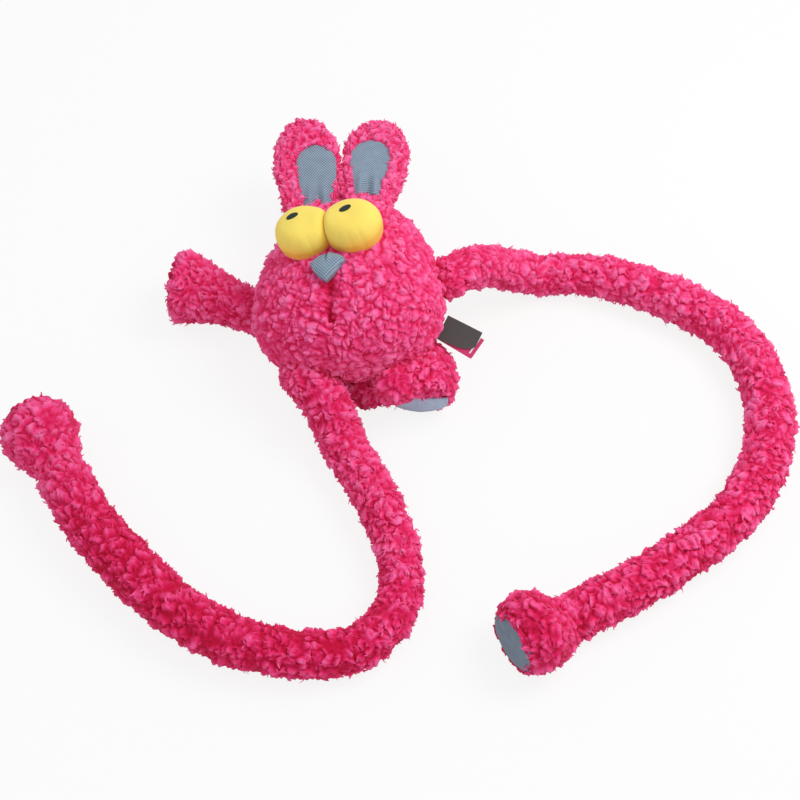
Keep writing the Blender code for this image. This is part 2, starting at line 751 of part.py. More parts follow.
def make_nose(carrier, woven, eye_centres):
    def lift(point, height):
        fullness = 0 if height < 0 else NOSE_EDGE_SHARE + (1 - NOSE_EDGE_SHARE) * height
        height = BODY_LENGTH / 2 * NOSE_HEIGHT_SHARE + point.y
        return front_point(point.x, height, SEAM_GAP + NOSE_THICKNESS * fullness)

    nose = solid("nose", patch(nose_outline(), lift, PATCH_RINGS - 1), woven, carrier)
    for index, centre in enumerate(eye_centres):
        guide = solid(f"nose_eye_guide_{index + 1}", eye_shape(centre, SEAM_GAP))
        cut(nose, guide)


# Label
def label_outline(length, corner):
    # A ply with one rounded corner at its free end.
    half = LABEL_WIDTH / 2
    outline = [Vector((0, half)), Vector((0, -half))]
    for step in range(CORNER_STEPS + 1):
        angle = math.pi / 2 * step / CORNER_STEPS
        outline.append(
            Vector((length - corner + corner * math.sin(angle), -half + corner - corner * math.cos(angle)))
        )
    outline.append(Vector((length, half)))
    return outline


def make_label(carrier, dark, plush):
    root = surface(LABEL_HEIGHT_SHARE, LABEL_ANGLE, LABEL_STANDOFF)
    way = heading_vector(LABEL_HEADING, LABEL_PITCH)
    axes = frame(way, heading_vector(LABEL_HEADING - math.pi / 2, LABEL_FACING), root)
    carrier = pivot("label_pivot", root, carrier)
    front = plate(axes, label_outline(LABEL_LENGTH, LABEL_CORNER), SEAM_GAP / 2, SEAM_GAP / 2 + LABEL_PLY)
    solid("label_front", front, dark, carrier)
    back = plate(
        axes, label_outline(LABEL_LENGTH + LABEL_STEP, LABEL_PLY), -SEAM_GAP / 2 - LABEL_PLY, -SEAM_GAP / 2
    )
    solid("label_back", back, plush, carrier)


# Squeaker
def turned(name, profile, material, carrier):
    # A ring turned about the squeaker's axis from a closed profile of radius and height.
    mesh_data = bmesh.new()
    columns = []
    for index in range(TURNED_SIDES):
        angle = math.tau * index / TURNED_SIDES
        columns.append(
            [
                mesh_data.verts.new(
                    (MIDDLE.x + radius * math.cos(angle), MIDDLE.y + radius * math.sin(angle), height)
                )
                for radius, height in profile
            ]
        )
    for left, right in zip(columns, columns[1:] + columns[:1]):
        for index in range(len(profile)):
            after = (index + 1) % len(profile)
            mesh_data.faces.new((left[index], right[index], right[after], left[after]))
    return solid(name, mesh_data, material, carrier)


def squeaker_heights():
    # Heights of the base's underside, the folded wall's two ends and the cap's top.
    fold = SQUEAKER_FOLD_HEIGHT
    total = 2 * SQUEAKER_PLATE + fold + 2 * SEAM_GAP
    bottom = MIDDLE.z - total / 2
    low = bottom + SQUEAKER_PLATE + SEAM_GAP
    return bottom, low, low + fold, bottom + total


def make_squeaker(carrier, clear_plastic, reed_material):
    bottom, low, high, top = squeaker_heights()
    hole = REED_RADIUS + SEAM_GAP
    boss = hole + REED_BOSS_WALL
    boss_top = bottom + REED_LENGTH - SQUEAKER_WALL
    turned(
        "squeaker_base",
        [
            (hole, bottom), (SQUEAKER_RADIUS, bottom), (SQUEAKER_RADIUS, bottom + SQUEAKER_PLATE),
            (boss, bottom + SQUEAKER_PLATE), (boss, boss_top), (hole, boss_top),
        ],
        clear_plastic, carrier,
    )
    outer = []
    for index in range(2 * SQUEAKER_FOLDS + 1):
        inset = SQUEAKER_FOLD_DEPTH if index % 2 else 0
        outer.append(
            (SQUEAKER_RADIUS - inset, low + (high - low) * index / (2 * SQUEAKER_FOLDS))
        )
    inner = [(radius - SQUEAKER_WALL, height) for radius, height in reversed(outer)]
    turned("squeaker_bellows", outer + inner, clear_plastic, carrier)
    reed = solid("squeaker_reed", rod(upright(bottom), REED_RADIUS, 0, REED_LENGTH), reed_material, carrier)
    slot = block(
        "reed_slot", Matrix.Translation((MIDDLE.x, MIDDLE.y, bottom)),
        (-REED_RADIUS / 2, -REED_SLOT / 2, -OVERRUN), (REED_RADIUS / 2, REED_SLOT / 2, OVERRUN),
    )
    cut(reed, slot)
    carrier = pivot("squeaker_pivot", (MIDDLE.x, MIDDLE.y, high), carrier)
    cap = rod(
        upright(), SQUEAKER_RADIUS, top - SQUEAKER_PLATE, top, SQUEAKER_RADIUS - SQUEAKER_PLATE / 2
    )
    solid("squeaker_cap", cap, clear_plastic, carrier)


# Body: three sewn panels over the stuffing, each a shell of plush
def make_body(carrier, plush, filling, floor_guide):
    hollow = solid("body_hollow", egg(-PLUSH_WALL))
    far = BODY_WIDTH
    half = SEAM_GAP / 2
    corners = {
        "body_front_left_panel": ((-far, -far, half), (-half, far, far)),
        "body_front_right_panel": ((half, -far, half), (far, far, far)),
        "body_back_panel": ((-far, -far, -far), (far, far, -half)),
    }
    items = []
    for name, (low, high) in corners.items():
        panel = solid(name, egg(), plush, carrier)
        cut(panel, hollow)
        cut(panel, block(f"{name}_guide", BODY, low, high), "INTERSECT")
        if name == "body_back_panel":
            cut(panel, floor_guide)
        items.append(panel)
    stuffing = solid("body_stuffing", egg(-PLUSH_WALL - SEAM_GAP), filling, carrier)
    bottom, low, high, top = squeaker_heights()
    pocket = rod(upright(), SQUEAKER_RADIUS + POCKET_GAP, bottom - POCKET_GAP, top + POCKET_GAP)
    cut(stuffing, solid("squeaker_pocket", pocket))
    cut(stuffing, solid("air_channel", rod(upright(), AIR_CHANNEL_RADIUS, -OVERRUN, bottom)))
    return [*items, stuffing]


def root_socket(name, root, radius, body_items):
    socket = ball(name, root, radius + BEND_GAP)
    for item in body_items:
        cut(item, socket)


def main():
    clear_scene()
    plush = fabric("pink_plush", (0.72, 0.04, 0.15), 0.95)
    woven = fabric("blue_grey_weave", (0.2, 0.3, 0.4), 0.85)
    yellow = fabric("yellow_jersey", (0.9, 0.63, 0.13), 0.8)
    dark = fabric("dark_stitching", (0.01, 0.03, 0.02), 0.6)
    ribbon = fabric("dark_ribbon", (0.09, 0.08, 0.08), 0.7)
    filling = fabric("white_filling", (0.8, 0.8, 0.8), 1)
    plastic = fabric("milky_plastic", (0.75, 0.78, 0.8), 0.4)
    reed = fabric("reed_plastic", (0.8, 0.2, 0.1), 0.4)

    torso = pivot("torso_pivot", (0, 0, 0))
    floor_guide = block(
        "floor_guide", Matrix(), (-BODY_WIDTH, -BODY_LENGTH, -OVERRUN), (BODY_WIDTH, BODY_LENGTH, 0)
    )
    body_items = make_body(torso, plush, filling, floor_guide)
    trim_cutter = solid("body_outline_guide", egg(SEAM_GAP))
    limb_cutter = solid("body_nudge_guide", egg(BODY_NUDGE_GAP))
    make_squeaker(torso, plastic, reed)

    centres = [
        make_eye(name, side, sideways, torso, yellow, dark, trim_cutter)
        for name, side, sideways in (("left", -1, LEFT_PUPIL_SIDEWAYS), ("right", 1, RIGHT_PUPIL_SIDEWAYS))
    ]
    make_nose(torso, woven, centres)
    for name, side, tilt, shift_share in (
        ("left", -1, LEFT_EAR_TILT, LEFT_LINING_SHIFT_SHARE), ("right", 1, RIGHT_EAR_TILT, RIGHT_LINING_SHIFT_SHARE)
    ):
        make_ear(name, side, tilt, shift_share, torso, plush, woven, body_items)
    make_label(torso, ribbon, plush)

    root = surface(LONG_ARM_HEIGHT_SHARE, ARM_ANGLE, ROOT_STANDOFF)
    arm = Limb(
        root, LONG_ARM_REACH, LONG_ARM_FALL, LONG_ARM_SETTLE, LONG_ARM_RADIUS,
        LONG_ARM_SWELL_SHARES, LONG_ARM_ROUTE_SHARES,
    )
    make_limb("long_arm", arm, torso, plush, woven, limb_cutter)
    root_socket("long_arm_socket", root, arm.radius(0), body_items)

    root = surface(SHORT_ARM_HEIGHT_SHARE, math.pi - ARM_ANGLE, ROOT_STANDOFF)
    make_short_arm(root, torso, plush, woven)
    root_socket("short_arm_socket", root, SHORT_ARM_RADIUS, body_items)

    root = surface(LONG_HIP_HEIGHT_SHARE, math.pi - LONG_HIP_ANGLE, ROOT_STANDOFF)
    leg = Limb(
        root, LONG_LEG_REACH, LONG_LEG_FALL, LONG_LEG_SETTLE, LONG_LEG_RADIUS,
        LONG_LEG_SWELL_SHARES, LONG_LEG_ROUTE_SHARES,
    )
    make_limb("long_leg", leg, torso, plush, woven, limb_cutter)
    root_socket("long_leg_socket", root, leg.radius(0), body_items)

    root = surface(SHORT_HIP_HEIGHT_SHARE, SHORT_HIP_ANGLE, ROOT_STANDOFF)
    make_short_leg(root, torso, plush, woven, limb_cutter, floor_guide)
    root_socket("short_leg_socket", root, SHORT_LEG_RADIUS, body_items)


main()
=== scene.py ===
import itertools
import math

import bpy
import numpy as np
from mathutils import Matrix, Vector, kdtree


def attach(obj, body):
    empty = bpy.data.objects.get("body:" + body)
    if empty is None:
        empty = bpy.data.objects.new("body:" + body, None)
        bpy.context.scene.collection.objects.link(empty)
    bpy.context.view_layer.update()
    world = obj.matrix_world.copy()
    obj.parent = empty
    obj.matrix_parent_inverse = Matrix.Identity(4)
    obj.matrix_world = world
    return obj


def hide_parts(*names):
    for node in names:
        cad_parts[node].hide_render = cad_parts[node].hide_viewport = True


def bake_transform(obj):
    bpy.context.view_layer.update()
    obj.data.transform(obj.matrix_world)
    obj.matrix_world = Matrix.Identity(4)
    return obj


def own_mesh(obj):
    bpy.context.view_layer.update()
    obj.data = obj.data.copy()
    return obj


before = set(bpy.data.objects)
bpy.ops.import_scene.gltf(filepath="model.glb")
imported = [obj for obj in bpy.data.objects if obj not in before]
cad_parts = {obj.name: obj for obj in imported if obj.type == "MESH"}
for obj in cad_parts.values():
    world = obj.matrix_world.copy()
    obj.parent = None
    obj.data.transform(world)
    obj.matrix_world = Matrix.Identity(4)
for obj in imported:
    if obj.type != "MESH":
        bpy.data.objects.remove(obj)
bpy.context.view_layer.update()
jointAt = {  # where each piece turns on the body
    "long_arm_shoulder_lift": (0.108074, 0.015934, 0.072677),
    "long_leg_hip_swing": (-0.009355, -0.072873, 0.038727),
    "short_arm_lift": (-0.056337, 0.012658, 0.028713), "short_leg_swing": (0.061141, -0.072518, 0.046714),
    "left_ear_fold": (-0.010191, 0.088585, 0.049337), "right_ear_fold": (0.039190, 0.096939, 0.062458),
    "label_flap": (0.100776, -0.026263, 0.058522),
}
jointAt = {name: np.array(point) for name, point in jointAt.items()}
floorCut = 0.0005  # how far a soft piece would sink into the floor that it lies flat on
floorGap = 0.0001  # what the pile keeps clear of the floor
up = np.array((0.0, 0.0, 1.0))
print("frame loaded")


# Shader maths: a wire is one output socket, and sums of wires become Math nodes
class Wire:
    def __init__(self, finish, socket):
        self.finish, self.socket = finish, socket

    def maths(self, operation, *others):
        return self.finish.node("ShaderNodeMath", {"operation": operation}, dict(enumerate((self, *others))))

    def __add__(self, other):
        return self.maths("ADD", other)

    def __sub__(self, other):
        return self.maths("SUBTRACT", other)

    def __rsub__(self, other):
        return self.finish.node("ShaderNodeMath", {"operation": "SUBTRACT"}, {0: other, 1: self})

    def __mul__(self, other):
        return self.maths("MULTIPLY", other)

    __radd__ = __add__
    __rmul__ = __mul__

    def wave(self, pitch):
        return (self * (math.tau / pitch)).maths("SINE")


class Finish:
    def __init__(self, name, **constants):
        self.material = bpy.data.materials.new(name)
        self.material.use_nodes = True
        self.tree = self.material.node_tree
        self.shader = self.tree.nodes["Principled BSDF"]
        for socket, value in constants.items():
            self.shader.inputs[socket.replace("_", " ")].default_value = value

    def node(self, kind, settings, sockets, output=0):
        made = self.tree.nodes.new(kind)
        for key, value in settings.items():
            if key == "stops":
                ramp = made.color_ramp
                while len(ramp.elements) < len(value):
                    ramp.elements.new(0.5)
                for element, (position, colour) in zip(ramp.elements, value):
                    element.position = position
                    element.color = (*colour, 1)
            else:
                setattr(made, key, value)
        for key, value in sockets.items():
            if isinstance(value, Wire):
                self.tree.links.new(value.socket, made.inputs[key])
            else:
                made.inputs[key].default_value = value
        return Wire(self, made.outputs[output])

    def pile(self):
        return self.node("ShaderNodeAttribute", {"attribute_name": "pile"}, {}, "Fac")

    def cloth(self):
        # The place on the flat cloth: how far along it, across it and through it.
        place = self.node("ShaderNodeAttribute", {"attribute_name": "cloth"}, {}, "Vector")
        split = self.node("ShaderNodeSeparateXYZ", {}, {0: place})
        return [Wire(self, output) for output in split.socket.node.outputs]

    def noise(self, scale, detail=2, roughness=0.5):
        place = self.node("ShaderNodeTexCoord", {}, {}, "Object")
        return self.node(
            "ShaderNodeTexNoise", {},
            {"Vector": place, "Scale": scale, "Detail": detail, "Roughness": roughness},
        )

    def mix(self, share, first, second):
        first = (*first, 1) if isinstance(first, tuple) else first
        second = (*second, 1) if isinstance(second, tuple) else second
        return self.node("ShaderNodeMix", {"data_type": "RGBA"}, {0: share, 6: first, 7: second}, 2)

    def ramp(self, value, *stops):
        return self.node("ShaderNodeValToRGB", {"stops": stops}, {0: value})

    def bump(self, height, strength, distance):
        return self.node(
            "ShaderNodeBump", {}, {"Height": height, "Strength": strength, "Distance": distance}
        )

    def feed(self, **wires):
        for socket, wire in wires.items():
            self.tree.links.new(wire.socket, self.shader.inputs[socket.replace("_", " ")])
        return self.material


# Curly plush, coloured by the height of its curls: painted shade, crimson, in the clefts, rose on the curls,
# and painted light, paler, at their tips
plushLook = {
    "cleft": (0.58, 0.003, 0.048), "low": (0.80, 0.022, 0.138), "curl": (0.95, 0.095, 0.305),
    "tip": (0.99, 0.205, 0.470), "sheen": (1.0, 0.35, 0.5, 1), "patches": 0.25, "strands": 0.30,
}


def makePlush():
    finish = Finish(
        "pinkPlush", Sheen_Weight=0.3, Sheen_Roughness=0.5, Sheen_Tint=plushLook["sheen"],
        Specular_IOR_Level=0.15,
    )
    patches = finish.noise(55, 3)
    strands = finish.noise(1500, 3, 0.7)
    # pile carries painted shade and light from the curls' height; patches and strands vary it at random
    shade = finish.pile() + (patches - 0.5) * plushLook["patches"] + (strands - 0.5) * plushLook["strands"]
    colour = finish.ramp(
        shade, (0.0, plushLook["cleft"]), (0.28, plushLook["low"]), (0.62, plushLook["curl"]),
        (1.0, plushLook["tip"]),
    )
    fluff = strands * 0.7 + finish.noise(600, 2) * 0.5
    return finish.feed(
        Base_Color=colour, Roughness=0.88 + patches * 0.1, Normal=finish.bump(fluff, 0.55, 0.0006)
    )


weaveLook = {"thread": (0.42, 0.55, 0.68), "ground": (0.115, 0.185, 0.27), "pitch": 0.0025}


def makeWeave(name, tint, contrast):
    finish = Finish(name, Sheen_Weight=0.1, Specular_IOR_Level=0.25)
    across, along, _ = finish.cloth()
    dots = across.wave(weaveLook["pitch"]) * along.wave(weaveLook["pitch"]) * 0.5 + 0.5
    wear = finish.noise(160, 3)
    threads = finish.noise(2600, 2)
    ground, thread = (tuple(part * tint for part in weaveLook[key]) for key in ("ground", "thread"))
    between = tuple((low + high) / 2 for low, high in zip(ground, thread))
    tone = dots * contrast + (1 - contrast) * 0.5 + (wear - 0.5) * 0.3 + (threads - 0.5) * 0.25
    return finish.feed(
        Base_Color=finish.ramp(tone, (0.15, ground), (0.45, between), (0.85, thread)),
        Roughness=0.75 + threads * 0.2, Normal=finish.bump(dots + threads * 0.6, 0.5, 0.0003),
    )


# The eyes' jersey: painted shade, deeper orange, at the seam between the eyes and on the domes' sides, and
# painted light, palest, on the crowns
jerseyLook = {
    "seam": (0.84, 0.46, 0.05), "side": (0.96, 0.68, 0.10), "crown": (0.99, 0.77, 0.15), "rib": 0.0009,
}


def makeJersey():
    finish = Finish("yellowJersey", Sheen_Weight=0.15, Specular_IOR_Level=0.2)
    ribs = finish.cloth()[0].wave(jerseyLook["rib"])
    blush = finish.noise(70, 3)
    yarn = finish.noise(2200, 2)
    # pile carries the painted shade at the eyes' seam and sides; blush and yarn vary it at random
    tone = finish.pile() * 0.75 + blush * 0.25 + (yarn - 0.5) * 0.12
    colour = finish.ramp(
        tone, (0.0, jerseyLook["seam"]), (0.3, jerseyLook["side"]), (0.9, jerseyLook["crown"])
    )
    return finish.feed(
        Base_Color=colour, Roughness=0.7 + yarn * 0.2, Normal=finish.bump(ribs * 0.5 + yarn, 0.25, 0.0002)
    )


stitchLook = {"deep": (0.006, 0.018, 0.014), "lit": (0.03, 0.06, 0.05), "thread": 0.0005}


def makeStitching():
    finish = Finish("darkStitching", Specular_IOR_Level=0.4)
    threads = finish.cloth()[0].wave(stitchLook["thread"])
    fuzz = finish.noise(1800, 2)
    return finish.feed(
        Base_Color=finish.mix(threads * 0.4 + fuzz * 0.4, stitchLook["deep"], stitchLook["lit"]),
        Roughness=0.45 + fuzz * 0.3, Normal=finish.bump(threads + fuzz, 0.6, 0.0002),
    )


ribbonLook = {
    "rib": 0.0007, "warp": 0.0005, "stripe": (0.80, 0.78, 0.78),
    "stripeStart": 0.0275, "stripeEnd": 0.0288, "stripeSide": -0.0050,
}


def makeRibbon(name, ground, thread, striped=False):
    finish = Finish(name, Specular_IOR_Level=0.3)
    along, across, _ = finish.cloth()
    ribs, warp = along.wave(ribbonLook["rib"]), across.wave(ribbonLook["warp"])
    fuzz = finish.noise(900, 3)
    colour = finish.mix(ribs * 0.25 + fuzz * 0.7, ground, thread)
    if striped:
        past = along.maths("GREATER_THAN", ribbonLook["stripeStart"])
        short = along.maths("LESS_THAN", ribbonLook["stripeEnd"])
        beside = across.maths("GREATER_THAN", ribbonLook["stripeSide"])
        colour = finish.mix(past * short * beside, colour, ribbonLook["stripe"])
    return finish.feed(
        Base_Color=colour, Roughness=0.6 + fuzz * 0.2,
        Normal=finish.bump(ribs + warp * 0.4 + fuzz * 0.5, 0.35, 0.0002),
    )


fillingLook = {"shade": (0.62, 0.62, 0.60), "tuft": (0.86, 0.86, 0.85)}


def makeFilling():
    finish = Finish("whiteFilling", Sheen_Weight=0.2, Specular_IOR_Level=0.1)
    tufts = finish.noise(260, 4, 0.7)
    return finish.feed(
        Base_Color=finish.mix(tufts, fillingLook["shade"], fillingLook["tuft"]),
        Roughness=0.85 + tufts * 0.1, Normal=finish.bump(tufts, 0.8, 0.001),
    )


def makePlastic(name, low, high):
    finish = Finish(name, Specular_IOR_Level=0.5, IOR=1.5)
    clouds = finish.noise(120, 3)
    scuffs = finish.noise(900, 3, 0.6)
    return finish.feed(
        Base_Color=finish.mix(clouds, low, high), Roughness=0.28 + scuffs * 0.25,
        Normal=finish.bump(clouds + scuffs * 0.3, 0.15, 0.0003),
    )


plush = makePlush()
weave = makeWeave("blueGreyWeave", 0.83, 0.92)
padWeave = makeWeave("slatePadWeave", 0.62, 0.25)
# The sole's weave is brightened half as much again: painted light against the shade that it faces into
soleWeavePaintedLight = makeWeave("soleWeavePaintedLight", 1.5, 0.25)
jersey = makeJersey()
stitching = makeStitching()
frontRibbon = makeRibbon("darkRibbon", (0.060, 0.054, 0.052), (0.125, 0.115, 0.112))
backRibbon = makeRibbon("pinkRibbon", (0.60, 0.03, 0.13), (0.76, 0.07, 0.22), striped=True)
filling = makeFilling()
milkyPlastic = makePlastic("milkyPlastic", (0.62, 0.66, 0.68), (0.80, 0.83, 0.85))
reedPlastic = makePlastic("reedPlastic", (0.70, 0.13, 0.06), (0.84, 0.24, 0.12))
print("finishes ready")


# Mesh helpers
def buildMesh(name, points, quads, material, **attributes):
    quads = np.asarray(quads, np.int32).reshape(-1, 4)
    mesh = bpy.data.meshes.new(name)
    mesh.vertices.add(len(points))
    mesh.vertices.foreach_set("co", np.asarray(points, np.float32).ravel())
    mesh.loops.add(4 * len(quads))
    mesh.loops.foreach_set("vertex_index", quads.ravel())
    mesh.polygons.add(len(quads))
    mesh.polygons.foreach_set("loop_start", np.arange(0, 4 * len(quads), 4, dtype=np.int32))
    mesh.update(calc_edges=True)
    mesh.shade_smooth()
    for key, values in attributes.items():
        flat = np.asarray(values, np.float32)
        kind = "FLOAT_VECTOR" if flat.ndim == 2 else "FLOAT"
        layer = mesh.attributes.new(key, kind, "POINT")
        layer.data.foreach_set("vector" if flat.ndim == 2 else "value", flat.ravel())
    mesh.materials.append(material)
    item = bpy.data.objects.new(name, mesh)
    bpy.context.scene.collection.objects.link(item)
    return item


def declare(item, node, slotName, fill=None):
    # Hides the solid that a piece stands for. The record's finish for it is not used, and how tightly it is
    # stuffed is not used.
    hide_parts(node)


def gridQuads(ringCount, sideCount):
    ring, side = np.meshgrid(np.arange(ringCount - 1), np.arange(sideCount), indexing="ij")
    after = (side + 1) % sideCount
    return np.stack(
        (ring * sideCount + side, ring * sideCount + after,
         (ring + 1) * sideCount + after, (ring + 1) * sideCount + side), -1,
    )


def unit(vectors):
    return vectors / np.maximum(np.linalg.norm(vectors, axis=-1, keepdims=True), 1e-9)


def wayAt(heading, slope):
    # The direction at a heading on the floor and a slope above it, both in degrees.
    heading, slope = math.radians(heading), math.radians(slope)
    reach = math.cos(slope)
    return np.array((math.cos(heading) * reach, math.sin(heading) * reach, math.sin(slope)))


def turnsOf(count):
    return math.tau * np.arange(count) / count


def lengthMarks(points):
    # How far along a line of points each one is.
    return np.concatenate(([0], np.cumsum(np.linalg.norm(np.diff(points, axis=0), axis=1))))


def bell(values, width):
    return np.exp(-((values / width) ** 2))


def signedPower(values, exponent):
    return np.sign(values) * np.abs(values) ** exponent


def smoothStep(values, start, end):
    share = np.clip((values - start) / (end - start), 0, 1)
    return share * share * (3 - 2 * share)


# The steps scatter the cells of the noise over its table
noiseTable = {"size": 4096, "steps": (73856093, 19349663, 83492791)}


def noise(points, size, seed):
    # Smooth noise from -1 to 1 at the given grain size.
    table = np.random.default_rng(seed).uniform(-1, 1, noiseTable["size"])
    spot = points / size
    cell = np.floor(spot).astype(np.int64)
    part = smoothStep(spot - cell, 0, 1)
    total = 0
    for corner in itertools.product((0, 1), repeat=3):
        x, y, z = ((cell[:, axis] + corner[axis]) * noiseTable["steps"][axis] for axis in range(3))
        across, along, high = (part[:, axis] if corner[axis] else 1 - part[:, axis] for axis in range(3))
        total = total + table[(x ^ y ^ z) & (noiseTable["size"] - 1)] * (across * along * high)
    return total


def catmull(rows, places, looped=False):
    count = len(rows)
    index = np.floor(places).astype(int)
    if not looped:
        index = np.minimum(index, count - 2)
    part = (places - index).reshape(-1, *[1] * (rows.ndim - 1))
    before, start, end, after = (
        rows[(index + shift) % count] if looped else rows[np.clip(index + shift, 0, count - 1)]
        for shift in (-1, 0, 1, 2)
    )
    return (
        start + part * (end - before) / 2 + part**2 * (2 * before - 5 * start + 4 * end - after) / 2
        + part**3 * (3 * start - before - 3 * end + after) / 2
    )


def refine(grid, spacing):
    # A finer grid of rings and sides, with its faces about as wide as the spacing.
    ringStep = np.linalg.norm(np.diff(grid, axis=0), axis=-1).mean(1)
    marks = np.concatenate(([0], np.cumsum(ringStep)))
    ringCount = max(4, int(marks[-1] / spacing))
    places = np.interp(np.linspace(0, marks[-1], ringCount), marks, np.arange(len(grid)))
    around = np.linalg.norm(grid - np.roll(grid, 1, 1), axis=-1).sum(1)
    sideCount = int(np.percentile(around, 90) / spacing)
    rings = catmull(grid, places)
    turns = np.arange(sideCount) * grid.shape[1] / sideCount
    return catmull(rings.transpose(1, 0, 2), turns, looped=True).transpose(1, 0, 2), places


def gridSlopes(grid):
    return np.gradient(grid, axis=0), np.roll(grid, -1, 1) - np.roll(grid, 1, 1)


def gridNormals(grid):
    along, around = gridSlopes(grid)
    normals = unit(np.cross(around, along))
    inner = grid.mean(1, keepdims=True)
    if ((grid - inner) * normals).sum() < 0:
        normals = -normals
    return normals


def axesOf(direction, facing):
    # Rows X along the direction and Z as near to the facing direction as X allows.
    x = unit(np.asarray(direction, float))
    y = unit(np.cross(np.asarray(facing, float), x))
    return np.array((x, y, np.cross(x, y)))


ringSides = 28


def ringAt(centre, direction, radius):
    axes = axesOf(direction, up)
    angle = turnsOf(ringSides)
    return centre + radius * (np.cos(angle)[:, None] * axes[1] + np.sin(angle)[:, None] * axes[2])


swelling = {"frames": 20, "quality": 5, "mass": 0.3, "stiffness": 15}  # the cloth of every stuffed piece


def inflate(grid, held, cap, pressure=4.0):
    # Swells a sewn shape with a cloth simulation. held, from 0 to 1, says how firmly a seam or a root holds
    # each point, and no point moves further than the cap.
    rings, sides = grid.shape[:2]
    count, side = rings * sides, np.arange(sides)
    after, last = (side + 1) % sides, count - sides
    points = np.concatenate((grid.reshape(-1, 3), [grid[0].mean(0), grid[-1].mean(0)]))
    faces = gridQuads(rings, sides).reshape(-1, 4).tolist()
    faces += np.stack((np.full(sides, count), after, side), -1).tolist()
    faces += np.stack((np.full(sides, count + 1), last + side, last + after), -1).tolist()
    corners = points[[face[:3] for face in faces]] - points.mean(0)
    if np.einsum("ij,ij->i", corners[:, 0], np.cross(corners[:, 1], corners[:, 2])).sum() < 0:
        faces = [face[::-1] for face in faces]
    mesh = bpy.data.meshes.new("swelling")
    mesh.from_pydata(points.tolist(), [], faces)
    item = bpy.data.objects.new("swelling", mesh)
    scene = bpy.context.scene
    scene.collection.objects.link(item)
    group = item.vertex_groups.new(name="held")
    for index, weight in enumerate(np.append(held.ravel(), (1, 1))):
        if weight > 0.01:
            group.add([index], float(weight), "REPLACE")
    cloth = item.modifiers.new("Cloth", "CLOTH")
    cloth.collision_settings.use_collision = False
    cloth.point_cache.frame_start, cloth.point_cache.frame_end = 1, swelling["frames"]
    fabric = cloth.settings
    fabric.quality, fabric.mass, fabric.vertex_group_mass = swelling["quality"], swelling["mass"], "held"
    fabric.tension_stiffness = fabric.compression_stiffness = swelling["stiffness"]
    fabric.use_pressure, fabric.uniform_pressure_force = True, pressure
    fabric.effector_weights.gravity = 0
    for number in range(1, swelling["frames"] + 1):
        scene.frame_set(number)
    swollen = np.empty(3 * len(points), np.float32)
    item.evaluated_get(bpy.context.evaluated_depsgraph_get()).data.vertices.foreach_get("co", swollen)
    bpy.data.objects.remove(item)
    bpy.data.meshes.remove(mesh)
    scene.frame_set(1)
    move = swollen.reshape(-1, 3)[:count].astype(float) - points[:count]
    far = np.linalg.norm(move, axis=1, keepdims=True)
    move *= cap * np.tanh(far / cap) / np.maximum(far, 1e-9)
    print("swollen by up to", round(1000 * float(far.max()), 2), "mm")
    return grid + move.reshape(grid.shape)


# The curls of the pile: wide tufts with smaller curls on them, and blunt flakes of pile that lie over both
bodyCurls = {
    "face": 0.00088, "curl": 0.0105, "height": 0.0021, "lean": 0.0014, "sink": 0.0022, "cleft": 0.50,
    "fold": 0.0056, "foldHeight": 0.0019, "crease": 0.0029, "creaseHeight": 0.0009, "crest": 0.0,
    "crumb": 0.00030, "crumbSizes": (0.0030, 0.0016), "tall": (0.55, 1.1), "drift": 0.75, "round": 0.36,
    "strands": 1.2, "length": (0.0018, 0.0032), "width": (0.00060, 0.00100), "flat": 0.7,
    "start": (0.80, 1.30), "bend": (0.20, 0.80), "radial": 0.7, "spikes": 0.03, "contrast": 1.0,
}
earCurls = {
    **bodyCurls, "curl": 0.0085, "fold": 0.0050, "foldHeight": 0.0023, "strands": 5,
    "length": (0.0020, 0.0040), "width": (0.00030, 0.00060), "start": (0.55, 1.30), "spikes": 0.05,
    "contrast": 1.15,
}
limbCurls = {
    **bodyCurls, "face": 0.00092, "curl": 0.0100, "height": 0.0024, "lean": 0.0032, "sink": 0.0023,
    "fold": 0.0049, "foldHeight": 0.0014, "creaseHeight": 0.0010, "crest": 0.0018, "round": 0.40,
    "strands": 2.3, "length": (0.0022, 0.0040), "width": (0.00040, 0.00075), "radial": 0.4, "spikes": 0.22,
    "contrast": 1.15,
}
# paler lightens each flake towards its tip as painted light; tones vary it at random
flake = {  # a flake of pile, and the narrower spikes among them
    "sides": 6, "profile": (0.8, 1.05, 1.15, 1.0, 0.6), "spikeProfile": (1.5, 1.25, 0.95, 0.55, 0.12),
    "spikeStart": (0.45, 0.95), "spikeWidth": 0.6, "spikeLength": 1.3, "sway": 0.0005, "root": 0.0003,
    "paler": 0.16, "tones": (0.88, 1.08),
}


def ridges(points, size, seed, roundness):
    # Winding rounded folds with thin clefts between them, from 0 in a cleft to 1 on a fold.
    warp = np.stack([noise(points, size * 1.4, seed + k) for k in range(3)], -1) * size * 0.7
    return np.minimum(1, np.abs(noise(points + warp, size, seed + 7)) / roundness) ** 0.75


def cells(points, spacing, seed):
    # Irregular cells over a surface: each point's cell, how far it is inside it, and the cells' middles.
    random = np.random.default_rng(seed)
    cell = np.floor(points / spacing + random.uniform(0, 1, 3)).astype(np.int64)
    order = random.permutation(len(points))
    code = cell[:, 0] * 1000003 + cell[:, 1] * 10007 + cell[:, 2]  # one number for each cell
    _, first = np.unique(code[order], return_index=True)
    roots = order[first]
    tree = kdtree.KDTree(len(roots))
    for index, point in enumerate(points[roots]):
        tree.insert(point, index)
    tree.balance()
    warp = np.stack([
        noise(points, spacing * 0.55, seed + k) * 0.36 + noise(points, spacing * 0.25, seed + k + 10) * 0.16
        for k in range(3)
    ], -1) * spacing
    owner = np.empty(len(points), int)
    gap = np.empty(len(points))
    for index, point in enumerate(points + warp):
        near, far = tree.find_n(point, 2)
        owner[index] = near[1]
        gap[index] = far[2] - near[2]
    return owner, gap / spacing, roots, random


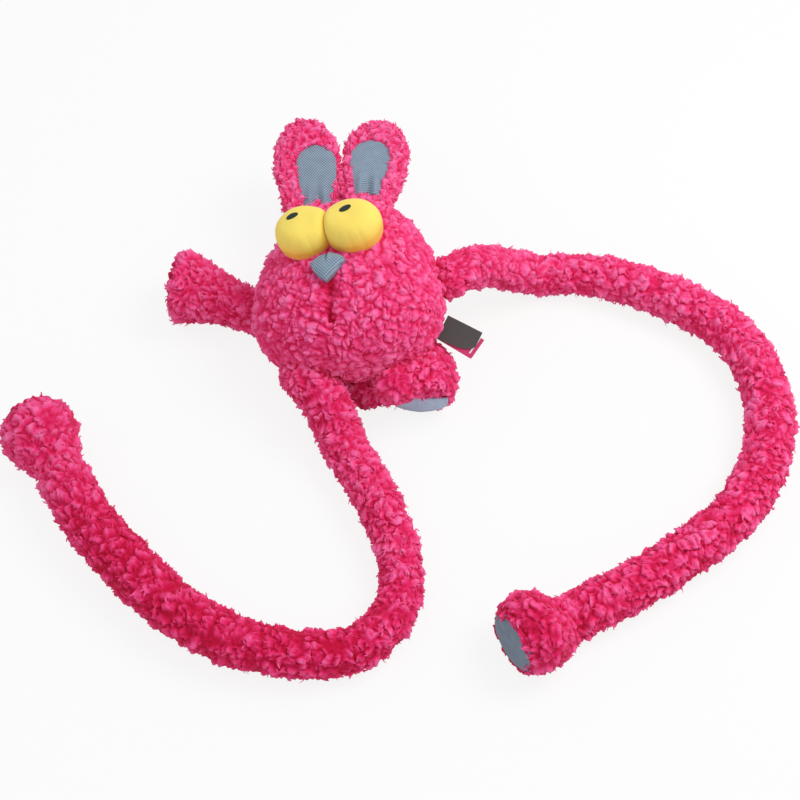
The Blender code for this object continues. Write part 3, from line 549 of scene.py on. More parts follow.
def curlUp(points, normals, nap, bare, seed, curls):
    # Raises leaning curls out of a surface, and says how high each point stands.
    owner, gap, roots, random = cells(points, curls["curl"], seed)
    rise = np.sin(np.clip(gap / curls["cleft"], 0, 1) * math.pi / 2)
    fold = ridges(points, curls["fold"], seed + 20, curls["round"])
    crease = ridges(points, curls["crease"], seed + 40, curls["round"])
    tall = random.uniform(*curls["tall"], len(roots))
    side = np.cross(normals[roots], nap[roots])
    drift = random.normal(0, curls["drift"], (2, len(roots), 1))
    lean = nap[roots] * (0.55 + drift[0]) + side * drift[1]
    lean = lean / np.maximum(1, np.linalg.norm(lean, axis=1, keepdims=True))
    coarse, small = curls["crumbSizes"]
    crumb = noise(points, coarse, seed + 5) + 0.6 * noise(points, small, seed + 6)
    lift = rise * tall[owner] * curls["height"] + fold * curls["foldHeight"] * (0.5 + 0.5 * rise)
    lift += crease * curls["creaseHeight"] * (0.4 + 0.6 * fold)
    if curls["crest"]:
        crest = (1 - ridges(points, curls["fold"] * 0.85, seed + 60, 0.5)) ** 1.5
        lift += crest * curls["crest"] * (0.4 + 0.6 * rise)
    lift = (lift + crumb * curls["crumb"] * (0.4 + rise)) * (1 - bare)
    moved = points + normals * (lift - curls["sink"] * (1 - bare))[:, None]
    moved += lean[owner] * ((0.5 * rise**1.5 + 0.5 * rise * fold) * curls["lean"] * (1 - bare))[:, None]
    tallest = curls["height"] + curls["foldHeight"] + curls["creaseHeight"] + 0.6 * curls["crest"]
    # shade is the curls' height made into painted shade: dark in the clefts, light on the tops
    shade = np.clip(0.95 * lift / tallest, 0, 1)
    return moved, lean[owner], points - points[roots][owner], rise, shade, random


def makeFlakes(points, normals, ways, shade, random, curls):
    # One bent flake of pile with a blunt tip on each point.
    count, rings, sides = len(points), len(flake["profile"]), flake["sides"]
    length, width, start, bend = (
        random.uniform(*curls[key], (count, 1)) for key in ("length", "width", "start", "bend")
    )
    spike = random.uniform(0, 1, (count, 1)) < curls["spikes"]
    start = np.where(spike, random.uniform(*flake["spikeStart"], (count, 1)), start)
    width = np.where(spike, width * flake["spikeWidth"], width)
    length = np.where(spike, length * flake["spikeLength"], length)
    share = np.linspace(0, 1, rings)[None]
    angle = start + bend * share
    across = unit(np.cross(normals, ways))
    ways = np.cross(across, normals)
    heading = np.cos(angle)[..., None] * normals[:, None] + np.sin(angle)[..., None] * ways[:, None]
    step = (length / (rings - 1))[..., None]
    centre = points[:, None] + np.concatenate(
        (np.zeros((count, 1, 3)), np.cumsum((heading[:, 1:] + heading[:, :-1]) / 2 * step, 1)), 1
    )
    sway = random.normal(0, flake["sway"], (count, 1, 1))
    centre += across[:, None] * sway * np.sin(share * math.pi * 1.4)[..., None]
    flat = np.cross(heading, across[:, None])
    radius = width * np.where(spike, flake["spikeProfile"], flake["profile"])
    turn = turnsOf(sides)
    ring = (
        centre[:, :, None]
        + across[:, None, None] * (radius[..., None] * np.cos(turn))[..., None]
        + flat[:, :, None] * (curls["flat"] * radius[..., None] * np.sin(turn))[..., None]
    )
    # painted light: a flake grows paler towards its tip, and its tone varies at random
    tone = (shade[:, None] + flake["paler"] * share) * random.uniform(*flake["tones"], (count, 1))
    top = (rings - 1) * sides + np.array(((0, 1, 2, 3), (0, 3, 4, 5)))
    quads = np.concatenate((gridQuads(rings, sides).reshape(-1, 4), top))
    quads = quads[None] + (np.arange(count) * rings * sides)[:, None, None]
    return ring.reshape(-1, 3), quads, np.repeat(np.clip(tone, 0, 1).ravel(), sides)


def furPieces(grid, nap, bare, seed, cuts, curls, tone=0.0):
    # Plush over a fine grid of rings. nap is the way it lies, bare is 1 where there is none, tone makes it
    # paler or deeper, as painted shade along the limbs and the belly dart, and cuts has (name, function that
    # tells which faces and roots belong).
    ringCount, sideCount = grid.shape[:2]
    points = grid.reshape(-1, 3)
    normals = gridNormals(grid).reshape(-1, 3)
    nap = np.broadcast_to(nap, grid.shape).reshape(-1, 3)
    nap = unit(nap - normals * (nap * normals).sum(1, keepdims=True))
    moved, lean, radial, rise, shade, random = curlUp(points, normals, nap, bare, seed, curls)
    tone = np.broadcast_to(tone, grid.shape[:2]).ravel()
    # painted shade: contrast deepens the clefts, and tone darkens or lightens the pile along a piece
    shade = np.clip(0.55 + (shade - 0.55) * curls["contrast"] + tone, 0, 1)
    skin = unit(gridNormals(moved.reshape(grid.shape)).reshape(-1, 3) + 0.5 * normals)
    along, around = gridSlopes(grid)
    area = np.linalg.norm(np.cross(along, around / 2), axis=-1).ravel()
    wanted = area.sum() / curls["curl"] ** 2 * curls["strands"]
    chance = area * (bare < 0.4) * (rise > 0.35)
    picks = random.choice(len(points), int(wanted), p=chance / chance.sum())
    ways = lean[picks] + curls["radial"] * radial[picks] / curls["curl"] * 2
    ways = ways + random.normal(0, 0.35, (len(picks), 3))
    flakePoints, flakeQuads, flakeShade = makeFlakes(
        moved[picks] - skin[picks] * flake["root"], skin[picks], ways, shade[picks], random, curls
    )
    ends = moved.reshape(grid.shape)  # a view, so its ends close those of the moved points
    for ring in (0, -1):
        ends[ring] = ends[ring].mean(0)
    for spots in (moved, flakePoints):
        spots[:, 2] = np.maximum(spots[:, 2], floorGap)
    quads = gridQuads(ringCount, sideCount)
    faceRing, faceSide = np.meshgrid(np.arange(ringCount - 1), np.arange(sideCount), indexing="ij")
    made = {}
    for name, belongs in cuts:
        chosen = quads[belongs(faceRing, faceSide)].reshape(-1, 4)
        used, chosen = np.unique(chosen, return_inverse=True)
        mine = belongs(np.minimum(picks // sideCount, ringCount - 2), picks % sideCount)
        picked = np.repeat(mine, len(flake["profile"]) * flake["sides"])
        newIndex = np.cumsum(picked) - 1 + len(used)
        faces = np.concatenate((chosen.reshape(-1, 4), newIndex[flakeQuads[mine].reshape(-1, 4)]))
        made[name] = buildMesh(
            name, np.concatenate((moved[used], flakePoints[picked])), faces, plush,
            pile=np.concatenate((shade[used], flakeShade[picked])),
        )
    return made


def furPiece(name, grid, nap, bare, seed, curls, tone=0.0):
    return furPieces(grid, nap, bare, seed, [(name, lambda ring, side: ring >= 0)], curls, tone)[name]


# Body: an egg with flattened sides, sewn from two front panels and one back panel
body = {
    "width": 0.156, "length": 0.164, "thickness": 0.114, "taper": 0.19, "plumpness": 2.3,
    "middle": (0.024388, 0.011163, 0.059498), "roll": 15, "turn": -2.5, "outset": -0.0028, "cap": 0.0030,
    "rings": 60, "sides": 92, "seed": 11,
}
# The dart's tone darkens the pile along it: painted shade in its sunken crease
seam = {  # the dart up the belly, and the side seams
    "depth": 0.0075, "width": 0.0046, "top": -0.035, "end": -0.055, "tone": -0.22, "dartShadeWidth": 0.0040,
    "sewnWidth": 0.0025, "sewnShare": 0.8, "sideSewn": 0.0030, "sideWidth": 0.004, "sideDepth": 0.0012,
}
bodyAxes = np.array((  # rows are the body's side, head and front directions in the world
    wayAt(body["turn"], body["roll"]), wayAt(body["turn"] + 90, 0), wayAt(body["turn"], body["roll"] + 90),
))
bodyMiddle = np.array(body["middle"])
bodyHalf = np.array((body["width"], body["length"], body["thickness"])) / 2


def plump(values):
    return signedPower(values, 2 / body["plumpness"])


def unplump(share):
    return signedPower(share, body["plumpness"] / 2)


def bodyPoint(latitude, angle, outset=0.0):
    narrowing = 1 - body["taper"] * plump(np.sin(latitude))
    across = (body["width"] / 2 * narrowing + outset) * plump(np.cos(latitude)) * plump(np.cos(angle))
    along = (body["length"] / 2 + outset) * plump(np.sin(latitude)) * np.ones_like(angle)
    front = (body["thickness"] / 2 + outset) * plump(np.cos(latitude)) * plump(np.sin(angle))
    return np.stack((across, along, front), -1)


def toWorld(local):
    return local @ bodyAxes + bodyMiddle


def toBody(points):
    return (points - bodyMiddle) @ bodyAxes.T


def bodySurface(heightShare, angle, outset):
    local = bodyPoint(np.arcsin(np.clip(unplump(heightShare), -1, 1)), angle)
    slope = np.sign(local) * np.abs(local / bodyHalf) ** (body["plumpness"] - 1) / bodyHalf
    return toWorld(local) + (unit(slope) @ bodyAxes) * np.asarray(outset)[..., None]


def frontPoint(side, height, outset):
    # The place on the front at so far to the side and so high, raised by the outset.
    share = height / (body["length"] / 2)
    halfWidth = bodyPoint(np.arcsin(unplump(share)), np.zeros_like(share))[..., 0]
    return bodySurface(share, np.arccos(np.clip(unplump(side / halfWidth), -1, 1)), outset)


def evenly(values, points, count):
    marks = lengthMarks(points)
    return np.interp(np.linspace(0, marks[-1], count), marks, values)


def bodyGrid(ringCount, sideCount):
    fineness = 2000
    latitudes = np.linspace(-math.pi / 2 + 0.0005, math.pi / 2 - 0.0005, fineness)
    latitudes = evenly(latitudes, bodyPoint(latitudes, np.full(fineness, math.pi / 3)), ringCount)
    angles = np.linspace(0, math.tau, 2 * fineness + 1)
    angles = evenly(angles, bodyPoint(np.zeros(len(angles)), angles), sideCount + 1)[:-1]
    return bodyPoint(latitudes[:, None], angles[None], body["outset"])


eye = {
    "width": 0.0474, "height": 0.0436, "depth": 0.0360, "spacing": 0.0385, "heightShare": 0.165,
    "standoff": 0.005, "grow": -0.0002, "crown": 3.8, "wobble": 0.0005, "wobbleSize": 0.011, "seed": 31,
    "saddle": 0.0022, "saddleWidth": 0.0070, "pinch": 0.0009, "pinchWidth": 0.0016,
    "overlap": 0.0002, "meeting": 0.0005,  # the eyes are pressed flat against each other
    "creases": ((-112, 0.35), (-88, 0.25), (-64, 0.3)), "creaseWidth": 4.5, "rings": 80, "sides": 120,
}
nose = {
    "width": 0.027, "height": 0.026, "thickness": 0.006, "heightShare": -0.232, "edge": 0.3,
    "corners": ((-0.50, 0.12), (-0.03, -0.49), (0.52, 0.18)), "bulges": (0.09, 0.05, 0.24),
    "pleat": -0.0005, "pleatWidth": 0.0011, "pleatDepth": 0.0024,
    "ridge": 0.0018, "ridgeWidth": 0.0016, "ridgeHeight": 0.0010, "standoff": 0.0004, "sunk": 0.0028,
}
noseLevel = body["length"] / 2 * nose["heightShare"]
eyeSize = np.array((eye["width"], eye["height"], eye["depth"]))
eyeCentre = {
    side: toBody(frontPoint(
        np.array(side * eye["spacing"] / 2), np.array(body["length"] / 2 * eye["heightShare"]),
        np.array(eye["standoff"]),
    ))
    for side in (-1, 1)
}


def bodyBare(local):
    # The pile is bare under the eyes and the nose.
    bare = np.zeros(len(local))
    for centre in eyeCentre.values():
        away = (local - centre) / eyeSize * 2
        bare = np.maximum(bare, 1 - smoothStep(np.linalg.norm(away, axis=1), 0.88, 0.98))
    x, y = local[:, 0], local[:, 1] - noseLevel
    inside = (y < nose["height"] * 0.28) & (y > -nose["height"] * 0.48)
    limit = nose["width"] * 0.5 * np.clip((y / nose["height"] + 0.5) / 0.8, 0, 1) ** 0.7
    inside &= (np.abs(x) < limit) & (local[:, 2] > 0)
    return np.maximum(bare, inside * 1.0)


def makeBody():
    grid = bodyGrid(body["rings"], body["sides"])
    belly = (grid[..., 2] > 0) * (grid[..., 1] < 0) * bell(grid[..., 0], seam["sewnWidth"])
    sewn = np.maximum(bell(grid[..., 2], seam["sideSewn"]), belly * seam["sewnShare"])
    fine, _ = refine(inflate(grid, sewn, body["cap"]), bodyCurls["face"])
    x, y, z = np.moveaxis(fine, -1, 0)
    dart = (z > 0) * smoothStep(y, seam["end"] - 0.012, seam["end"]) * (
        1 - smoothStep(y, seam["top"], seam["top"] + 0.01)
    )
    # painted shade: the pile is deeper crimson along the sunken dart
    tone = seam["tone"] * dart * bell(x, seam["dartShadeWidth"])
    z -= seam["depth"] * dart * bell(x, seam["width"])
    fine[..., :2] *= 1 - (bell(z, seam["sideWidth"]) * seam["sideDepth"] / 0.07)[..., None]

    def panel(low, high):
        return lambda ring, side: (side >= low * fine.shape[1]) & (side < high * fine.shape[1])

    panels = furPieces(
        toWorld(fine), -bodyAxes[1] - up * 0.2, bodyBare(fine.reshape(-1, 3)), body["seed"],
        [("body_front_right_plush", panel(0, 0.25)), ("body_front_left_plush", panel(0.25, 0.5)),
         ("body_back_plush", panel(0.5, 1.01))], bodyCurls, tone,
    )
    for name, piece in panels.items():
        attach(piece, "torso")
        declare(piece, name.replace("plush", "panel"), "pink_plush", 0.85)
    print("body plush", [len(piece.data.polygons) for piece in panels.values()])


makeBody()


# Padded patches: the nose, the pupils, the pads and the linings
def patchMesh(name, outline, lift, rings, material):
    # The outline shrinks to its middle, front and back. lift places flat points at a share of the thickness.
    middle, count = outline.mean(0), len(outline)
    shells, flats, inner = [], [], []
    for index in range(rings + 1):
        share = math.sin(math.pi / 2 * (index + 0.02) / rings)
        flats.append(middle + (outline - middle) * share)
        shells.append(lift(flats[-1], np.full(count, math.sqrt(1 - share * share))))
        inner.append(np.full(count, 1 - share))
    for share in (0.999, 0.4995):
        flats.append(middle + (outline - middle) * share)
        shells.append(lift(flats[-1], np.full(count, -1.0)))
        inner.append(np.zeros(count))
    cloth = np.concatenate(flats)
    return buildMesh(
        name, np.concatenate(shells), gridQuads(len(shells), count), material,
        cloth=np.column_stack((cloth, np.zeros(len(cloth)))), pile=np.concatenate(inner),
    )


def resample(corners, count):
    closed = np.concatenate((corners, corners[:1]))
    marks = lengthMarks(closed)
    where = np.linspace(0, marks[-1], count, endpoint=False)
    return np.stack([np.interp(where, marks, closed[:, axis]) for axis in (0, 1)], -1)


def oval(length, width, slant=0.0, count=96):
    angle = turnsOf(count)
    x, y = length / 2 * np.cos(angle), width / 2 * np.sin(angle)
    cos, sin = math.cos(slant), math.sin(slant)
    return np.stack((x * cos - y * sin, x * sin + y * cos), -1)


def makeEye(name, side):
    polar, angle = np.linspace(0.01, math.pi - 0.01, eye["rings"])[:, None], turnsOf(eye["sides"])
    way = np.stack((
        np.sin(polar) * np.cos(angle), np.sin(polar) * np.sin(angle), np.cos(polar) * np.ones_like(angle),
    ), -1)
    across = np.minimum(np.hypot(way[..., 0], way[..., 1]), 1)
    crown = np.sign(way[..., 2]) * (1 - across ** eye["crown"]) ** 0.5
    points = eyeCentre[side] + np.stack((way[..., 0], way[..., 1], crown), -1) * (eyeSize / 2 + eye["grow"])
    wobble = noise(points.reshape(-1, 3), eye["wobbleSize"], eye["seed"] + side).reshape(points.shape[:2])
    around = np.degrees(np.arctan2(way[..., 1], side * way[..., 0]))
    for bearing, depth in eye["creases"]:
        wobble -= 2.0 * depth * bell(around - bearing, eye["creaseWidth"]) * smoothStep(across, 0.62, 0.92)
    points += way * (wobble * eye["wobble"])[..., None]
    outward = side * points[..., 0]
    pressed = eye["meeting"] * np.exp(np.clip(outward / eye["meeting"] - 1, -30, 0))
    points[..., 0] = side * (eye["overlap"] / 2 + np.where(outward > eye["meeting"], outward, pressed))
    front = smoothStep(way[..., 2], 0.0, 0.3)
    points[..., 2] += eye["saddle"] * front * bell(points[..., 0], eye["saddleWidth"])
    points[..., 2] -= eye["pinch"] * front * bell(points[..., 0], eye["pinchWidth"])
    # painted shade: the jersey is darker where the eyes meet and towards the sides of the domes
    edge = (0.6 + 0.4 * smoothStep(side * points[..., 0], 0, 0.004)) * smoothStep(way[..., 2], -0.05, 0.35)
    points = points.reshape(-1, 3)
    item = buildMesh(
        f"{name}_jersey", toWorld(points), gridQuads(eye["rings"], eye["sides"]), jersey,
        cloth=points, pile=edge.ravel(),
    )
    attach(item, "torso")
    declare(item, name, "yellow_jersey", 0.95)


pupil = {
    "length": 0.0102, "width": 0.0055, "thickness": 0.0008, "upward": 0.0040, "slant": 25, "root": 0.0004,
    "standoff": 0.0001,
}


def makePupil(name, side, sideways, grow):
    half = eyeSize / 2 + eye["grow"]
    aim = unit(np.array((sideways, pupil["upward"], eye["depth"] / 2)))
    acrossWay = unit(np.cross((0, 1, 0), aim))
    upWay = np.cross(aim, acrossWay)

    def onEye(flat, height):
        way = unit(aim * eye["depth"] / 2 + flat[:, :1] * acrossWay + flat[:, 1:] * upWay)
        reach = 1 / np.sqrt(((way / half) ** 2).sum(1))
        for _ in range(8):  # out to the crown that the dome has
            spot = way * reach[:, None] / half
            top = (1 - np.minimum(np.hypot(spot[:, 0], spot[:, 1]), 1) ** eye["crown"]) ** 0.5
            reach = reach * (1 + 0.5 * (top / np.maximum(spot[:, 2], 0.05) - 1))
        thick = np.where(height < 0, -pupil["root"], pupil["standoff"] + pupil["thickness"] * height)
        return toWorld(eyeCentre[side] + way * (reach + thick)[:, None])

    outline = oval(pupil["length"] * grow, pupil["width"], math.radians(pupil["slant"]))
    item = patchMesh(f"{name}_stitching", outline, onEye, 12, stitching)
    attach(item, "torso")
    declare(item, name, "dark_stitching")


for sideName, side, sideways, grow in (("left", -1, -0.0050, 0.94), ("right", 1, -0.0015, 1.0)):
    makeEye(f"{sideName}_eye", side)
    makePupil(f"{sideName}_pupil", side, sideways, grow)


def noseOutline():
    corners = nose["width"] * np.array(nose["corners"])
    share = (np.arange(40) / 40)[:, None]
    sides = []
    for start, end, bulge in zip(corners, np.roll(corners, -1, 0), nose["bulges"]):
        outward = unit(np.array((end[1] - start[1], start[0] - end[0]))) * nose["width"] * bulge
        sides.append(start * (1 - share) + end * share + outward * 4 * share * (1 - share))
    return resample(np.concatenate(sides), 144)


def onFace(flat, height):
    x, y = flat.T
    pleat = bell(x - nose["pleat"], nose["pleatWidth"]) * smoothStep(y, -0.001, 0.008)
    ridge = bell(x - nose["ridge"], nose["ridgeWidth"]) * smoothStep(y, -0.002, 0.006)
    rise = nose["thickness"] * (nose["edge"] + (1 - nose["edge"]) * height) + nose["standoff"]
    rise += nose["ridgeHeight"] * ridge - nose["pleatDepth"] * pleat
    return frontPoint(x, noseLevel + y, np.where(height < 0, -nose["sunk"], rise))


item = patchMesh("nose_cloth", noseOutline(), onFace, 30, weave)
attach(item, "torso")
declare(item, "nose", "blue_grey_weave", 0.8)
print("face ready")


# Limbs
# A limb's tone is painted light and shade along it: darker along the stretches that lie farther from the key
# lamp, and a little lighter near the long arm's start
longArm = {
    "name": "long_arm", "root": "long_arm_shoulder_lift", "radius": 0.0195, "reach": 0.255, "fall": 0.270,
    "settle": 0.100, "endTilt": (0, -0.07, 0.11), "rootShift": 0, "rootBack": (), "seed": 100,
    "swell": (0.92, 0.94, 1.01, 1.03, 1.02, 0.98, 0.98), "tone": (0, 0.02, 0.05, 0.04, -0.04, -0.12, -0.14),
    "route": (
        (0, 0), (0.17, 0.122), (0.36, 0.167), (0.55, 0.145), (0.75, 0.06), (0.895, -0.045),
        (0.97, -0.17), (1, -0.31), (0.985, -0.445), (0.935, -0.575), (0.84, -0.7),
        (0.71, -0.805), (0.535, -0.914), (0.315, -1.024),
    ),
}
longLeg = {
    "name": "long_leg", "root": "long_leg_hip_swing", "radius": 0.0195, "reach": 0.192, "fall": 0.211,
    "settle": 0.050, "endTilt": (0, 0, 0), "rootShift": 0.0085, "rootBack": (0.014, 0.007), "seed": 200,
    "swell": (1.04, 0.96, 0.9, 0.91, 1.03, 1.1, 1.08), "tone": (0, 0, -0.04, -0.24, -0.30, -0.28, 0),
    "route": (
        (0, 0), (0.115, -0.13), (0.22, -0.29), (0.31, -0.45), (0.375, -0.61), (0.39, -0.78),
        (0.315, -0.93), (0.16, -1.01), (-0.045, -1.01), (-0.255, -0.965), (-0.475, -0.85),
        (-0.68, -0.68), (-0.855, -0.5), (-1.005, -0.285),
    ),
}
paw = {
    "radius": 0.0295, "length": 0.048, "pinch": 0.92, "pinchLength": 0.012,
    "profile": ((0.3, 0.82), (0.42, 0.94), (0.56, 1), (0.72, 0.99), (0.85, 0.94), (0.94, 0.86), (1, 0.76)),
    "lip": ((0.0010, 0.79), (-0.0006, 0.76), (-0.0018, 0.72), (-0.0018, 0.35), (-0.0018, 0.02)),
    "lean": (0.4, 1.0),  # where along it the tilt of its end begins and ends
}
pad = {"share": 0.76, "thickness": 0.0025, "edge": 0.35, "standoff": 0.0008, "recess": 0.0015, "rim": 0.001}
sectionCount = 6
limbStep = 0.0045
limbSwell = {"inset": 0.0020, "pawInset": 0.0006, "stubInset": 0.001, "cap": 0.0020, "pressure": 12}
blendReach = {"root": 0.012, "bend": 0.020, "stub": 0.010}
domeAngles = np.radians((80, 55, 30))


class LimbLine:
    def __init__(self, limb):
        self.root = jointAt[limb["root"]]
        corners = self.root[:2] + np.array(limb["route"]) * (limb["reach"], limb["fall"])
        padded = np.concatenate(([2 * corners[0] - corners[1]], corners, [2 * corners[-1] - corners[-2]]))
        places = 1 + np.linspace(0, len(corners) - 1, 24 * (len(corners) - 1) + 1)
        self.route = catmull(padded, np.minimum(places, len(padded) - 2 - 1e-9))
        self.marks = lengthMarks(self.route)
        self.length = self.marks[-1]
        self.settle = limb["settle"]
        self.swell = limb["radius"] * np.array(limb["swell"])

    def radius(self, along):
        place = np.clip(along / self.length, 0, 1) * (len(self.swell) - 1)
        index = np.minimum(place.astype(int), len(self.swell) - 2)
        blend = smoothStep(place - index, 0, 1)
        return self.swell[index] * (1 - blend) + self.swell[index + 1] * blend

    def centre(self, along):
        along = np.clip(along, 0, self.length)
        flat = np.stack([np.interp(along, self.marks, self.route[:, axis]) for axis in (0, 1)], -1)
        blend = smoothStep(along / self.settle, 0, 1)
        height = self.root[2] * (1 - blend) + (self.radius(along) - floorCut) * blend
        return np.concatenate((flat, height[:, None]), 1)

    def direction(self, along):
        return unit(self.centre(along + 0.0008) - self.centre(along - 0.0008))


def domeRows(centre, way, radius):
    # The closed end of a limb, inside the body.
    return [ringAt(centre - way * radius * math.sin(a), way, radius * math.cos(a)) for a in domeAngles]


def lipRows(end, way, radius):
    # The rim of pile round a pad, and the hollow behind the pad.
    return [ringAt(end + way * forward, way, radius * share) for forward, share in paw["lip"]]


def leaning(way, tilt, along):
    return unit(way + np.array(tilt) * smoothStep(along, *paw["lean"]))


def limbRows(limb, line):
    # The rings of a long limb with its paw, how far along each one is, and the paw's end and its way there.
    stations = np.concatenate((np.arange(0, line.length - 0.002, limbStep), [line.length]))
    centres, ways, radii = line.centre(stations), line.direction(stations), line.radius(stations)
    pinched = smoothStep(stations, line.length - paw["pinchLength"], line.length)
    radii = radii * (1 - (1 - paw["pinch"]) * pinched)
    centres[:, 0] += limb["rootShift"] * (1 - smoothStep(stations, 0, 0.06))
    rootWay, rootRadius = ways[0], radii[0]
    behind = max(limb["rootBack"], default=0)
    rows = domeRows(centres[0] - rootWay * behind, rootWay, rootRadius)
    marks = list(-behind - rootRadius * np.sin(domeAngles))
    for back in limb["rootBack"]:
        rows.append(ringAt(centres[0] - rootWay * back, rootWay, rootRadius - limbSwell["inset"]))
        marks.append(-back)
    rows += [ringAt(*ring) for ring in zip(centres, ways, radii - limbSwell["inset"])]
    marks += list(stations)
    wrist, way, wristRadius = centres[-1], unit(ways[-1] * (1, 1, 0)), line.swell[-1]
    profile = np.array(((0, wristRadius * paw["pinch"] / paw["radius"]), *paw["profile"]))
    widest = profile[profile[:, 1].argmax(), 0]
    for along in np.linspace(0.1, 1, 12):
        share = catmull(profile[:, 1], np.interp([along], profile[:, 0], np.arange(len(profile))))[0]
        radius = paw["radius"] * share
        centre = wrist + way * paw["length"] * along
        centre[2] = max(radius if along < widest else paw["radius"], wristRadius) - floorCut
        rows.append(ringAt(centre, leaning(way, limb["endTilt"], along), radius - limbSwell["pawInset"]))
        marks.append(line.length + along * paw["length"])
    end = wrist + way * paw["length"]
    end[2] = paw["radius"] - floorCut
    endWay = leaning(way, limb["endTilt"], 1)
    rows += lipRows(end, endWay, paw["radius"])
    marks += [line.length + paw["length"] + 0.003 * (1 - share) for _, share in paw["lip"]]
    return rows, marks, end, endWay


def swellLimb(rows, heldRows):
    # Swells the rings of a limb, with its root and its end held. Gives its fine grid, where the rings of that
    # are among the rows, its middle line, and its way at each ring.
    coarse = np.array(rows)
    held = np.zeros(coarse.shape[:2])
    held[:heldRows] = held[-6:] = 1
    coarse = inflate(coarse, held, limbSwell["cap"], limbSwell["pressure"])
    coarse[..., 2] = np.maximum(coarse[..., 2], 0.0002)
    fine, places = refine(coarse, limbCurls["face"])
    line = catmull(coarse.mean(1), places)
    return fine, places, line, unit(np.gradient(line, axis=0) + 1e-9)[:, None]


def padBare(grid, end, way, radius, lid=1.0):
    # There is no pile behind a pad.
    away = grid.reshape(-1, 3) - end
    depth = away @ way
    across = np.linalg.norm(away - depth[:, None] * way, axis=1)
    under = away @ axesOf(way, up)[2] < radius * lid - pad["rim"]
    return ((depth > -0.004) & (across < radius - pad["rim"]) & under) * 1.0


def padOn(name, end, way, radius, bodyName, cloth=padWeave, lid=1.0):
    # A round pad behind its lip of pile, flattened above the lid's share of its radius.
    axes = axesOf(way, up)
    end = end - way * (pad["recess"] if lid == 1 else 0)

    def lift(flat, height):
        crown = pad["standoff"] + pad["thickness"] * (pad["edge"] + (1 - pad["edge"]) * height)
        tuck = noise(np.column_stack((flat, np.zeros(len(flat)))), 0.006, 71) * 0.0003 * (height > 0)
        rise = np.where(height < 0, 0.0, crown) + tuck
        return end + way * rise[:, None] + flat[:, :1] * axes[1] + flat[:, 1:] * axes[2]

    outline = oval(2 * radius, 2 * radius)
    outline[:, 1] = np.minimum(outline[:, 1], radius * lid)
    item = patchMesh(f"{name}_pad_cloth", outline, lift, 24, cloth)
    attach(item, bodyName)
    declare(item, f"{name}_pad", "blue_grey_weave", 0.7)


def furOnLimb(limb):
    name, line = limb["name"], LimbLine(limb)
    rows, marks, end, endWay = limbRows(limb, line)
    fine, places, _, nap = swellLimb(rows, 5)
    marks = np.interp(places, np.arange(len(marks)), marks)
    joints = line.length * np.arange(sectionCount + 1) / sectionCount
    bounds = [-math.inf, *(joints[:-1] + joints[1:]) / 2, math.inf]
    lengths = [f"{index + 1}" for index in range(sectionCount)]
    nodes = [f"{name}_section_{length}" for length in lengths] + [f"{name}_paw"]

    def stretch(low, high):
        return lambda ring, side: (marks[ring] >= low) & (marks[ring] < high)

    names = [f"{name}_plush_{length}" for length in lengths] + [f"{name}_paw_plush"]
    cuts = [(piece, stretch(*ends)) for piece, ends in zip(names, zip(bounds, bounds[1:]))]
    # painted light and shade along the limb, from its tone
    tone = np.interp(marks / line.length, np.linspace(0, 1, len(limb["tone"])), limb["tone"])[:, None]
    padRadius = paw["radius"] * pad["share"]
    bare = padBare(fine, end, endWay, padRadius)
    made = furPieces(fine, nap, bare, limb["seed"], cuts, limbCurls, tone)
    near, ways = line.centre(joints), line.direction(joints)
    for index, (item, node) in enumerate(zip(made.values(), nodes)):
        reach = ways[index] * blendReach["bend" if index else "root"]
        near[index] - reach
        near[index] + reach
        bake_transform(item)
        declare(item, node, "pink_plush", 0.8)
    padOn(name, end, endWay, padRadius, f"{name}_paw")
    print(name, "plush", sum(len(item.data.polygons) for item in made.values()))


furOnLimb(longArm)
furOnLimb(longLeg)


# Short arm and short leg
rootOf = {"short_arm": jointAt["short_arm_lift"], "short_leg": jointAt["short_leg_swing"]}


def furOnStub(name, rows, seed, end, way, padRadius, cloth, lid=1.0):
    fine, _, line, nap = swellLimb(rows, 4)
    item = furPiece(f"{name}_plush", fine, nap, padBare(fine, end, way, padRadius, lid), seed, limbCurls)
    root = rootOf[name]
    reach = unit(line[len(line) // 2] - root) * blendReach["stub"]
    root - reach
    root + reach
    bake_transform(item)
    declare(item, name, "pink_plush", 0.85)
    padOn(name, end, way, padRadius, name, cloth, lid)
    print(name, "plush", len(item.data.polygons))


shortArm = {
    "radius": 0.0185, "length": 0.0735, "endRadius": 0.0305, "heading": 157, "endTilt": (0, -0.22, 0),
    "seed": 300, "profile": (
        (0.2, 0.62), (0.33, 0.66), (0.46, 0.72), (0.6, 0.81), (0.74, 0.93), (0.85, 1), (0.93, 0.97),
        (0.98, 0.88), (1, 0.78),
    ),
}


def makeShortArm():
    root, radius = rootOf["short_arm"], shortArm["endRadius"]
    end = root + wayAt(shortArm["heading"], 0) * shortArm["length"]
    end[2] = radius - floorCut
    way = unit(end - root)
    rows = domeRows(root, way, shortArm["radius"])
    rows.append(ringAt(root, way, shortArm["radius"] - limbSwell["stubInset"]))
    for along, share in shortArm["profile"]:
        centre = root * (1 - along) + end * along
        rowWay = leaning(way, shortArm["endTilt"], along)
        rows.append(ringAt(centre, rowWay, radius * share - limbSwell["stubInset"]))
    rows += lipRows(end, rowWay, radius)
    furOnStub("short_arm", rows, shortArm["seed"], end, rowWay, radius * pad["share"], padWeave)


shortLeg = {
    "radius": 0.0195, "footRadius": 0.0300, "footLength": 0.048, "reach": 0.021, "tuck": 0.026,
    "slope": -12, "heading": -92, "heel": 0.45, "spread": 1.22, "thigh": 0.80, "fillet": 0.0055,
    "lid": 0.30, "rings": 34, "sides": 44, "farthest": 0.075, "seed": 400,
    "profile": ((0.2, 0.72), (0.35, 0.9), (0.5, 0.98), (0.68, 1), (0.85, 0.98), (0.95, 0.9), (1, 0.8)),
}


